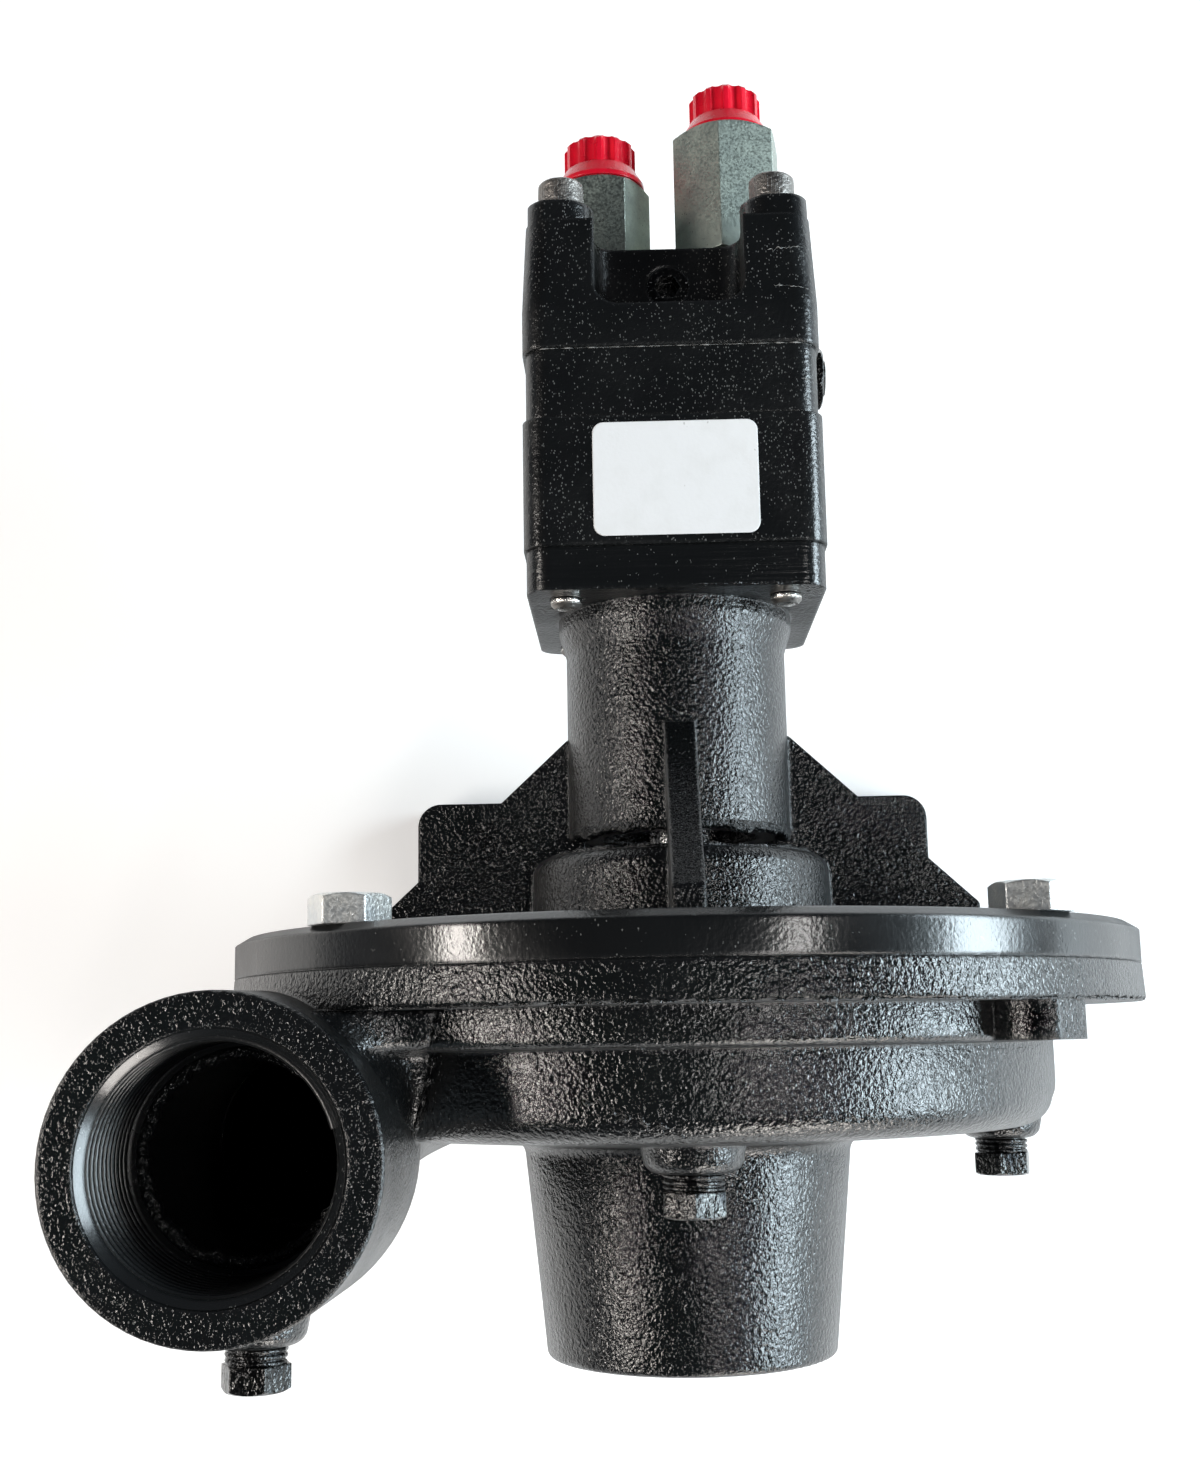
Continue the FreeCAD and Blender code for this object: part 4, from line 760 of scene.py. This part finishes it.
def ragged(angle: float, lumps: float, seed: float) -> float:
    """A torn edge's height between 0 and 1 at an angle, the same in each run."""
    here = Vector((math.cos(angle) * lumps, math.sin(angle) * lumps, seed))
    return max(0.0, min(1.0, 0.5 + 0.8 * noise.fractal(here, 0.6, 2.0, 4)))


@dataclass(frozen=True)
class Bead:
    """A thin broken ridge that lies on a node's upper skin, from one (x, y) place to another."""

    name: str
    node: str
    start: tuple
    end: tuple
    thickness: float
    wander: float = 0.3
    seed: float = 1.0
    steps: int = 80
    sides: int = 6
    thinnest: float = 0.08

    def loops(self) -> Loops:
        """The rings of points along the ridge, half sunk in the skin."""
        run = Vector((self.end[0] - self.start[0], self.end[1] - self.start[1], 0.0))
        across = Vector((-run.y, run.x, 0.0)).normalized()
        rings = []
        for step in range(self.steps + 1):
            share = step / self.steps
            swing = self.wander * noise.noise(Vector((share * 9.0, self.seed, 2.0)))
            middle = skin_below(self.node, self.start[0] + run.x * share + across.x * swing,
                                self.start[1] + run.y * share + across.y * swing)
            swell = 0.35 + 1.6 * noise.noise(Vector((share * run.length * 0.6, self.seed, 7.0)))
            radius = self.thickness * MM * max(self.thinnest, min(1.0, swell))
            rings.append([middle + radius * (math.cos(angle) * across
                                             + Vector((0.0, 0.0, math.sin(angle))))
                          for angle in around(self.sides)])
        return rings


@dataclass(frozen=True)
class Fairing:
    """The hollow sweep between the outlet pipe and the spiral."""

    pipe_x: float
    pipe_y: float
    pipe_radius: float = 28.3
    seam: tuple = (-43.4, -50.6)
    along: tuple = (-7.3, -31.0)
    top: float = 74.0
    least_rise: float = 4.0
    proud: float = 0.5
    sunk: float = 0.8
    curve: float = 2.6
    depth: float = 7.0
    rows: int = 24
    columns: int = 16

    def loops(self) -> Loops:
        """Its cross-sections, each from the cast seam to the pipe's wall and back below."""
        loops = []
        for row in range(self.rows + 1):
            y = self.along[0] + (self.along[1] - self.along[0]) * row / self.rows
            seam = self.seam[0] + (self.seam[1] - self.seam[0]) * row / self.rows
            foot = skin_below("volute_casing", seam, y).z / MM - SHAFT_HEIGHT + self.proud
            foot = min(foot, self.top - self.least_rise)
            reach = math.sqrt(self.pipe_radius ** 2 - (y - self.pipe_y) ** 2)
            wall = self.pipe_x + reach - self.sunk
            shares = [column / self.columns for column in range(self.columns + 1)]
            upper = [(seam + (wall - seam) * share, y,
                      foot + (self.top - foot) * share ** self.curve) for share in shares]
            lower = [(x, y, min(z, self.top) - self.depth) for x, y, z in reversed(upper)]
            loops.append([at(*point) for point in upper + lower])
        return loops


@dataclass
class SubAssembly:
    """A part of the pump: the finishes of its nodes, its beads and its other fine pieces."""

    shop: Workshop
    title: ClassVar[str] = "sub-assembly"
    dressing: ClassVar[Dict[Coat, tuple]] = {}
    beads: ClassVar[Dict[Coat, tuple]] = {}

    def build(self) -> None:
        """Dress the nodes, lay the beads and add the other pieces."""
        for coat, nodes in self.dressing.items():
            for node in nodes:
                for slot in frame["nodes"][node].material_slots:
                    slot.material = self.shop.coats[coat]
        for coat, beads in self.beads.items():
            for bead in beads:
                self.skin(bead.name, bead.loops(), coat)
        self.add_pieces()

    def add_pieces(self) -> None:
        """Add the other fine pieces, where a sub-assembly has any."""

    def skin(self, name: str, loops: Loops, coat: Coat, ring: bool = False, ladder: bool = False,
             smooth: bool = True, slot: Optional[str] = "pump_paint") -> Object:
        """Add a piece made of loops."""
        return settle(loft(name, loops, ring, ladder), self.shop.coats[coat], smooth)

    def grow(self, tree: ShapeTree, name: str, place: Vector, facing: Facing, coat: Coat,
             smooth: bool = True, slot: Optional[str] = "pump_paint",
             **sizes: object) -> Object:
        """Add a piece made by a shape tree."""
        material = self.shop.coats[coat]
        return settle(tree.make(name, place, facing, material, **sizes), material, smooth)


@dataclass
class PumpCasing(SubAssembly):
    """The volute casing with its threaded outlet and inlet."""

    title = "volute casing"
    dressing = {Coat.CASING: ("volute_casing",)}
    beads = {Coat.FLASH: (
        Bead("outlet_seam", "volute_casing", (-43.0, -7.4), (-49.7, -30.0), 0.9, 0.6, 2.0),
        Bead("belt_ledge", "volute_casing", (-33.0, -14.2), (46.0, -14.2), 0.22, 0.1, 5.0),
        Bead("upper_score", "volute_casing", (-19.0, -22.6), (-4.0, -27.4), 0.5, 1.2, 8.0),
        Bead("lower_score", "volute_casing", (-14.0, -24.8), (-1.5, -29.0), 0.5, 1.0, 11.0))}
    rim_radius: float = 92.3
    rim_thick: float = 7.1
    outlet_x: float = -78.7
    outlet_y: float = -31.8
    outlet_face: float = 83.0
    outlet_radius: float = 20.6
    outlet_thread: float = 25.5
    cast_radius: float = 17.8
    inlet_face: float = -75.1
    inlet_radius: float = 22.6
    inlet_thread: float = 25.0
    pitch: float = 2.21
    ridge: float = 0.72
    chamfer: float = 1.7
    runout: float = 1.8
    lip_steps: int = 200
    flash_start: float = 0.35
    flash_sweep: float = 2.0

    def add_pieces(self) -> None:
        """Wind the threads and leave the casting's marks on."""
        length = self.outlet_thread - self.chamfer - self.runout
        self.pipe_thread("outlet_thread", at(self.outlet_x, self.outlet_y,
                                             self.outlet_face - self.chamfer - length),
                         Facing.UP, self.outlet_radius, length)
        length = self.inlet_thread - self.chamfer - self.runout
        self.pipe_thread("inlet_thread", at(0.0, self.inlet_face + self.chamfer + length, 0.0),
                         Facing.TO_INLET, self.inlet_radius, length)
        self.outlet_lip()
        self.skin("outlet_fairing", Fairing(self.outlet_x, self.outlet_y).loops(), Coat.CASING,
                  ladder=True)
        self.rim_flash()

    def pipe_thread(self, name: str, place: Vector, facing: Facing, radius: float,
                    length: float) -> None:
        """A tapered pipe thread in a bore, wider towards the mouth."""
        self.grow(self.shop.thread, name, place, facing, Coat.THREAD,
                  Start_Radius=(radius - 0.1) * MM, End_Radius=(radius + 0.2) * MM,
                  Turns=length / self.pitch, Length=length * MM, Ridge=self.ridge * MM)

    def outlet_lip(self) -> None:
        """The torn cast lip at the foot of the outlet thread."""
        top = self.outlet_face - self.outlet_thread
        cast = self.cast_radius

        def section(angle: float) -> list:
            """The lip's section: rough inside and on top."""
            inner = cast - 0.3 - 1.5 * ragged(angle, 5.0, 3.0)
            rise = 0.3 + 1.5 * ragged(angle, 7.0, 8.0)
            return [(cast + 0.6, top - 4.0), (inner + 0.5, top - 4.0), (inner, top - 1.2),
                    (inner + 0.25, top + rise * 0.6), (inner + 0.8, top + rise),
                    (cast + 0.9, top + rise * 0.7), (cast + 1.5, top - 0.4)]

        def put(angle: float, radius: float, height: float) -> Vector:
            """A point round the outlet."""
            return at(self.outlet_x + radius * math.cos(angle),
                      self.outlet_y + radius * math.sin(angle), height)

        self.skin("outlet_cast_lip", turned(section, put, self.lip_steps), Coat.FLASH, ring=True)

    def rim_flash(self) -> None:
        """The thin bead left where the mould halves met, along the low edge of the rim."""
        self.grow(self.shop.flash, "rim_flash", at(0.0, -self.rim_thick + 0.1, 0.0),
                  Facing.TO_INLET, Coat.FLASH, Radius=(self.rim_radius - 0.35) * MM,
                  Start=self.flash_start, Sweep=self.flash_sweep, Thickness=0.36 * MM,
                  Wander=0.5 * MM, Seed=4.0)


@dataclass
class CasingPlugs(SubAssembly):
    """The three small hexagon plugs."""

    title = "casing plugs"
    dressing = {Coat.PLUG: ("front_vent_plug", "side_drain_plug", "outlet_drain_plug")}
    thread_radius: float = 5.15
    neck: float = 3.2
    gap: float = 0.2
    pitch: float = 1.05
    ridge: float = 0.46
    places: tuple = (("front_vent_plug", 0.0, 36.6, 45.0), ("side_drain_plug", 69.8, 35.6, -28.0),
                     ("outlet_drain_plug", -78.7, 65.2, 45.0))

    def add_pieces(self) -> None:
        """Wind the threads that show between boss and head."""
        length = self.neck - 0.5
        for node, x, boss_end, z in self.places:
            self.grow(self.shop.thread, node + "_thread", at(x, -boss_end - length - self.gap, z),
                      Facing.TO_MOTOR, Coat.PLUG, False, "plug_steel",
                      Start_Radius=self.thread_radius * MM,
                      End_Radius=(self.thread_radius + 0.1) * MM, Turns=length / self.pitch,
                      Length=length * MM, Ridge=self.ridge * MM)


@dataclass
class CasingJoint(SubAssembly):
    """The casing bolts and the soft ring of the joint."""

    title = "casing joint"
    dressing = {Coat.ZINC: ("casing_bolts",), Coat.RUBBER: ("casing_o_ring",)}


@dataclass
class MotorBracket(SubAssembly):
    """The bracket between pump and motor, with its torn lantern slot."""

    title = "motor bracket"
    dressing = {Coat.BRACKET: ("motor_bracket",)}
    beads = {Coat.FLASH: (
        Bead("flange_burr", "motor_bracket", (3.0, 76.5), (28.0, 76.3), 0.3, 0.3, 3.0),)}
    column_radius: float = 23.4
    column_start: float = 28.7
    collar_top: float = 24.5
    collar_edge: float = 27.4
    edge_steps: int = 260

    def add_pieces(self) -> None:
        """Tear the edges of the slot."""
        for name, section in (("column_torn_edge", self.column_edge),
                              ("collar_cast_lip", self.collar_lip)):
            self.skin(name, turned(section, self.put, self.edge_steps), Coat.FLASH, ring=True)

    def put(self, angle: float, radius: float, height: float) -> Vector:
        """A point round the shaft line."""
        return at(radius * math.sin(angle), height, radius * math.cos(angle))

    def column_edge(self, angle: float) -> list:
        """The section of the column's lower edge: a thin wall, torn below."""
        wall = self.column_radius
        start = self.column_start
        low = start - 0.15 - 1.35 * ragged(angle, 6.0, 1.0) ** 1.5
        return [(wall - 2.4, start + 1.5), (wall + 0.12, start + 1.5), (wall + 0.12, low + 0.5),
                (wall - 0.4, low), (wall - 2.0, low + 0.3)]

    def collar_lip(self, angle: float) -> list:
        """The section of the lip that the slot's core left on the collar."""
        rise = 0.1 + 1.0 * ragged(angle, 7.0, 5.0)
        wide = self.collar_edge + 0.6 * ragged(angle, 3.0, 9.0)
        top = self.collar_top
        return [(wide - 2.6, top - 0.4), (wide + 0.5, top - 0.4), (wide + 0.1, top + rise * 0.8),
                (wide - 0.9, top + rise)]


@dataclass
class OilMotor(SubAssembly):
    """The square motor: plates, rotors, bearing and the bare sticker."""

    title = "oil motor"
    dressing = {
        Coat.MOTOR: ("motor_body", "gerotor_housing", "end_cover"),
        Coat.ROTOR: ("gerotor_inner", "gerotor_outer"),
        Coat.GROUND: ("front_bearing_outer", "front_bearing_inner", "front_bearing_balls",
                      "dowel_pins", "gerotor_key", "snap_ring"),
        Coat.BRONZE: ("rear_bush", "front_bearing_cage"),
        Coat.RUBBER: ("shaft_lip_seal", "front_plate_seal", "rear_plate_seal")}
    # pale beads on the seam and edges: partly chips, partly painted glints
    beads = {Coat.CHIP_AND_GLINT: (
        Bead("seam_chips_and_glints", "gerotor_housing", (-27.0, 126.9), (29.0, 126.9), 0.17, 0.05, 4.0),
        Bead("boss_chip_high", "end_cover", (20.5, 147.2), (28.2, 148.0), 0.16, 0.5, 6.0),
        Bead("boss_chip_low", "end_cover", (21.5, 139.3), (28.6, 138.6), 0.16, 0.5, 9.0),
        Bead("edge_chip", "gerotor_housing", (26.4, 119.3), (29.0, 119.0), 0.2, 0.3, 12.0))}
    face_height: float = 30.8
    sticker_left: float = -16.4
    sticker_right: float = 17.1
    sticker_low: float = 86.7
    sticker_high: float = 110.5
    sticker_corner: float = 2.3
    sticker_thick: float = 0.14
    corner_steps: int = 8

    def add_pieces(self) -> None:
        """A white rounded sticker with nothing on it."""
        corner = self.sticker_corner
        right, left = self.sticker_right - corner, self.sticker_left + corner
        high, low = self.sticker_high - corner, self.sticker_low + corner
        outline = []
        for x, y, start in ((right, high, 0), (left, high, 90), (left, low, 180),
                            (right, low, 270)):
            for step in range(self.corner_steps + 1):
                angle = math.radians(start + 90 * step / self.corner_steps)
                outline.append((x + corner * math.cos(angle), y + corner * math.sin(angle)))
        mid_x = (self.sticker_left + self.sticker_right) / 2
        mid_y = (self.sticker_low + self.sticker_high) / 2
        loops = []
        for inset, rise in ((0.0, -0.02), (0.0, self.sticker_thick * 0.6),
                            (0.12, self.sticker_thick)):
            pull = 1.0 - inset / corner * 0.2
            loops.append([at(mid_x + (x - mid_x) * pull, mid_y + (y - mid_y) * pull,
                             self.face_height + rise) for x, y in outline])
        self.skin("bare_sticker", loops, Coat.STICKER, smooth=False, slot=None)


@dataclass
class MotorScrews(SubAssembly):
    """The four long socket screws, the recess plug and the bypass screw."""

    title = "motor screws"
    dressing = {Coat.SCREW: ("through_bolts",),
                Coat.PLUG: ("recess_plug", "bypass_needle", "bypass_jam_nut")}
    half_spacing: float = 22.4
    head_radius: float = 4.75
    head: float = 6.35
    head_start: float = 160.0
    ridges: int = 38
    ridge: float = 0.2
    tip: float = 73.8
    tip_radius: float = 3.17
    tip_steps: int = 40

    def add_pieces(self) -> None:
        """Knurl the heads and dome the tips."""
        middle = self.head_start + 0.45 * self.head
        for number, (side_x, side_z) in enumerate(((-1, 1), (1, 1), (-1, -1), (1, -1)), 1):
            x = side_x * self.half_spacing
            z = side_z * self.half_spacing
            self.grow(self.shop.knurl, f"screw_knurl_{number}", at(x, middle, z), Facing.TO_MOTOR,
                      Coat.SCREW, False, "socket_steel", Count=self.ridges,
                      Radius=(self.head_radius - 0.14) * MM, Height=self.head * 0.80 * MM,
                      Ridge=self.ridge * MM)
            self.tip_dome(number, x, z)

    def tip_dome(self, number: int, x: float, z: float) -> None:
        """The bright rounded tip under the flange."""
        wide = self.tip_radius + 0.06
        profile = ((0.0, -0.25), (1.4, -0.15), (2.35, 0.15), (3.0, 0.7), (wide, 1.2), (wide, 2.1),
                   (0.0, 2.1))
        loops = [[at(x + radius * math.cos(angle), self.tip + rise, z + radius * math.sin(angle))
                  for angle in around(self.tip_steps)] for radius, rise in profile]
        self.skin(f"screw_tip_{number}", loops, Coat.BOLT_TIP, slot="socket_steel")


@dataclass
class PortAdapters(SubAssembly):
    """The two hexagon adapters, the non-return valve and the red caps."""

    title = "port adapters"
    dressing = {Coat.ADAPTER: ("pressure_adapter", "return_adapter"),
                Coat.RED: ("pressure_cap", "return_cap"),
                Coat.GROUND: ("valve_poppet", "valve_retainer")}
    spring_radius: float = 3.6
    spring_wire: float = 0.45
    spring_turns: float = 3.0
    valve_lift: float = 2.5

    def add_pieces(self) -> None:
        """The valve's spring in round wire, made at one length; the real spring shortens as the
        poppet lifts.
        """
        low, high = (Vector(corner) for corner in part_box("valve_spring"))
        middle = (low + high) / 2
        length = high.y - low.y
        wire = self.spring_wire * MM
        piece = self.grow(self.shop.thread, "valve_spring_coil",
                          Vector((middle.x, low.y + wire, middle.z)), Facing.TO_MOTOR, Coat.SPRING,
                          slot=None, Start_Radius=self.spring_radius * MM,
                          End_Radius=self.spring_radius * MM, Turns=self.spring_turns,
                          Length=length - 2 * wire, Ridge=wire)
        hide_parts("valve_spring")
        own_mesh(piece)


@dataclass
class ShaftGroup(SubAssembly):
    """The shaft, the impeller and the water seal."""

    title = "shaft, impeller and seal"
    dressing = {Coat.GROUND: ("motor_shaft", "impeller_key"), Coat.IRON: ("impeller",),
                Coat.SPRING: ("impeller_nut", "impeller_washer", "seal_spring"),
                Coat.CARBON: ("seal_head",), Coat.CERAMIC: ("seal_seat",),
                Coat.RUBBER: ("seal_seat_cup", "seal_bellows", "slinger")}


@dataclass
class Studio:
    """The photograph's camera, a pale floor and soft lights."""

    position: Vector = Vector((-8.447, -11.854, 369.909))
    focal_pixels: float = 1750.35
    tilt: float = -0.17182
    pan: float = -0.02177
    roll: float = 0.01739
    frame_height: float = 1462.0
    sensor_height: float = 36.0
    nearest: float = 0.01
    floor_half: float = 4.0
    floor_colour: tuple = (0.93, 0.93, 0.93, 1.0)
    floor_glow: float = 0.26
    horizon: tuple = (0.16, 0.17, 0.19, 1.0)
    overhead: tuple = (0.035, 0.037, 0.042, 1.0)
    target: Vector = Vector((0.0, 0.0, 0.1))

    def build(self) -> None:
        """Set up camera, floor, world and lamps."""
        bpy.context.scene.view_settings.view_transform = "Standard"
        self.camera()
        self.floor()
        self.world()
        self.lamps()

    def camera(self) -> None:
        """Place the camera that was fitted to the photograph."""
        data = bpy.data.cameras.new("camera")
        data.sensor_fit = "VERTICAL"
        data.sensor_height = self.sensor_height
        data.lens = self.focal_pixels * self.sensor_height / self.frame_height
        data.clip_start = self.nearest
        camera = new_object("camera", data)
        turn = (Matrix.Rotation(self.roll, 3, "Z") @ Matrix.Rotation(self.tilt, 3, "X")
                @ Matrix.Rotation(self.pan, 3, "Y"))
        camera.matrix_world = (Matrix.Translation(at(*self.position))
                               @ turn.transposed().to_4x4())
        bpy.context.scene.camera = camera

    def floor(self) -> None:
        """A wide white floor, a little brighter where it is seen directly."""
        mesh = bpy.data.meshes.new("floor")
        half = self.floor_half
        corners = [(-half, -half, 0), (half, -half, 0), (half, half, 0), (-half, half, 0)]
        mesh.from_pydata(corners, [], [(0, 1, 2, 3)])
        floor = new_object("floor", mesh)
        surface = Surface("white_floor")
        graph = surface.graph
        grain = graph.noise(surface.place, 30.0, 2.0, 0.5)
        surface.finish(self.floor_colour, graph.span(grain, 0.3, 0.7, 0.85, 0.95),
                       graph.bump(grain, 0.0001))
        path = graph.put("ShaderNodeLightPath")
        seen = graph.math("MAXIMUM", path["Is Camera Ray"], path["Is Glossy Ray"])
        seen = graph.math("MAXIMUM", seen, path["Is Transmission Ray"])
        glow = graph.put("ShaderNodeEmission",
                         Strength=graph.math("MULTIPLY", seen, self.floor_glow))
        both = graph.add("ShaderNodeAddShader")
        out = next(node for node in graph.tree.nodes if node.type == "OUTPUT_MATERIAL")
        for start, end in ((surface.shader.outputs[0], both.inputs[0]),
                           (glow[0], both.inputs[1]),
                           (both.outputs[0], out.inputs["Surface"])):
            drop(start, end, graph.tree)
        mesh.materials.append(surface.material)

    def world(self) -> None:
        """A room that is pale at the sides and dimmer overhead."""
        world = bpy.data.worlds.new("studio")
        world.use_nodes = True
        bpy.context.scene.world = world
        graph = Graph(world.node_tree)
        height = graph.along(graph.put("ShaderNodeTexCoord")["Generated"], "Z")
        colour = graph.blend(graph.span(height, 0.0, 0.45), self.horizon, self.overhead)
        graph.feed(world.node_tree.nodes["Background"], Color=colour, Strength=1.0)

    def lamps(self) -> None:
        """A cool window on the right, a warm lamp on the left, small ones above and in front."""
        self.lamp("right_window", (1.05, -0.05, 0.49), (1.1, 0.32), 22.0, (0.78, 0.92, 1.0))
        self.lamp("left_lamp", (-0.82, -0.15, 0.74), (0.80, 0.10), 7.5, (1.0, 0.94, 0.88))
        self.lamp("high_lamp", (0.36, -0.16, 1.05), (0.5, 0.06), 2.2, (1.0, 0.98, 0.96))
        self.lamp("front_lamp", (0.34, -0.85, 0.36), (0.5, 0.20), 5.0, (1.0, 0.95, 0.90))

    def lamp(self, name: str, place: tuple, size: tuple, power: float, colour: tuple) -> None:
        """Add one oblong lamp that faces the pump.

        Args:
            name: the lamp's name.
            place: where it stands, in metres.
            size: its two sides in metres.
            power: its power in watts.
            colour: its colour.
        """
        data = bpy.data.lights.new(name, "AREA")
        data.shape = "RECTANGLE"
        data.size, data.size_y = size
        data.energy = power
        data.color = colour
        turn = (self.target - Vector(place)).to_track_quat("-Z", "Y")
        new_object(name, data).matrix_world = (Matrix.Translation(place)
                                               @ turn.to_matrix().to_4x4())


def main() -> None:
    """Build the studio, dress every piece and report each sub-assembly."""
    logging.basicConfig(level=logging.INFO, format="%(name)s: %(message)s")
    Studio().build()
    effects = build_effects()
    coats = {coat: coat.value.build(effects) for coat in Coat}
    shop = Workshop(coats, ThreadTree(), KnurlTree(), FlashTree())
    for part in (PumpCasing(shop), CasingPlugs(shop), CasingJoint(shop), MotorBracket(shop),
                 OilMotor(shop), MotorScrews(shop), PortAdapters(shop), ShaftGroup(shop)):
        before = len(bpy.data.objects)
        part.build()
        log.info("%s: %d pieces added", part.title, len(bpy.data.objects) - before)


if __name__ == "__main__":
    main()
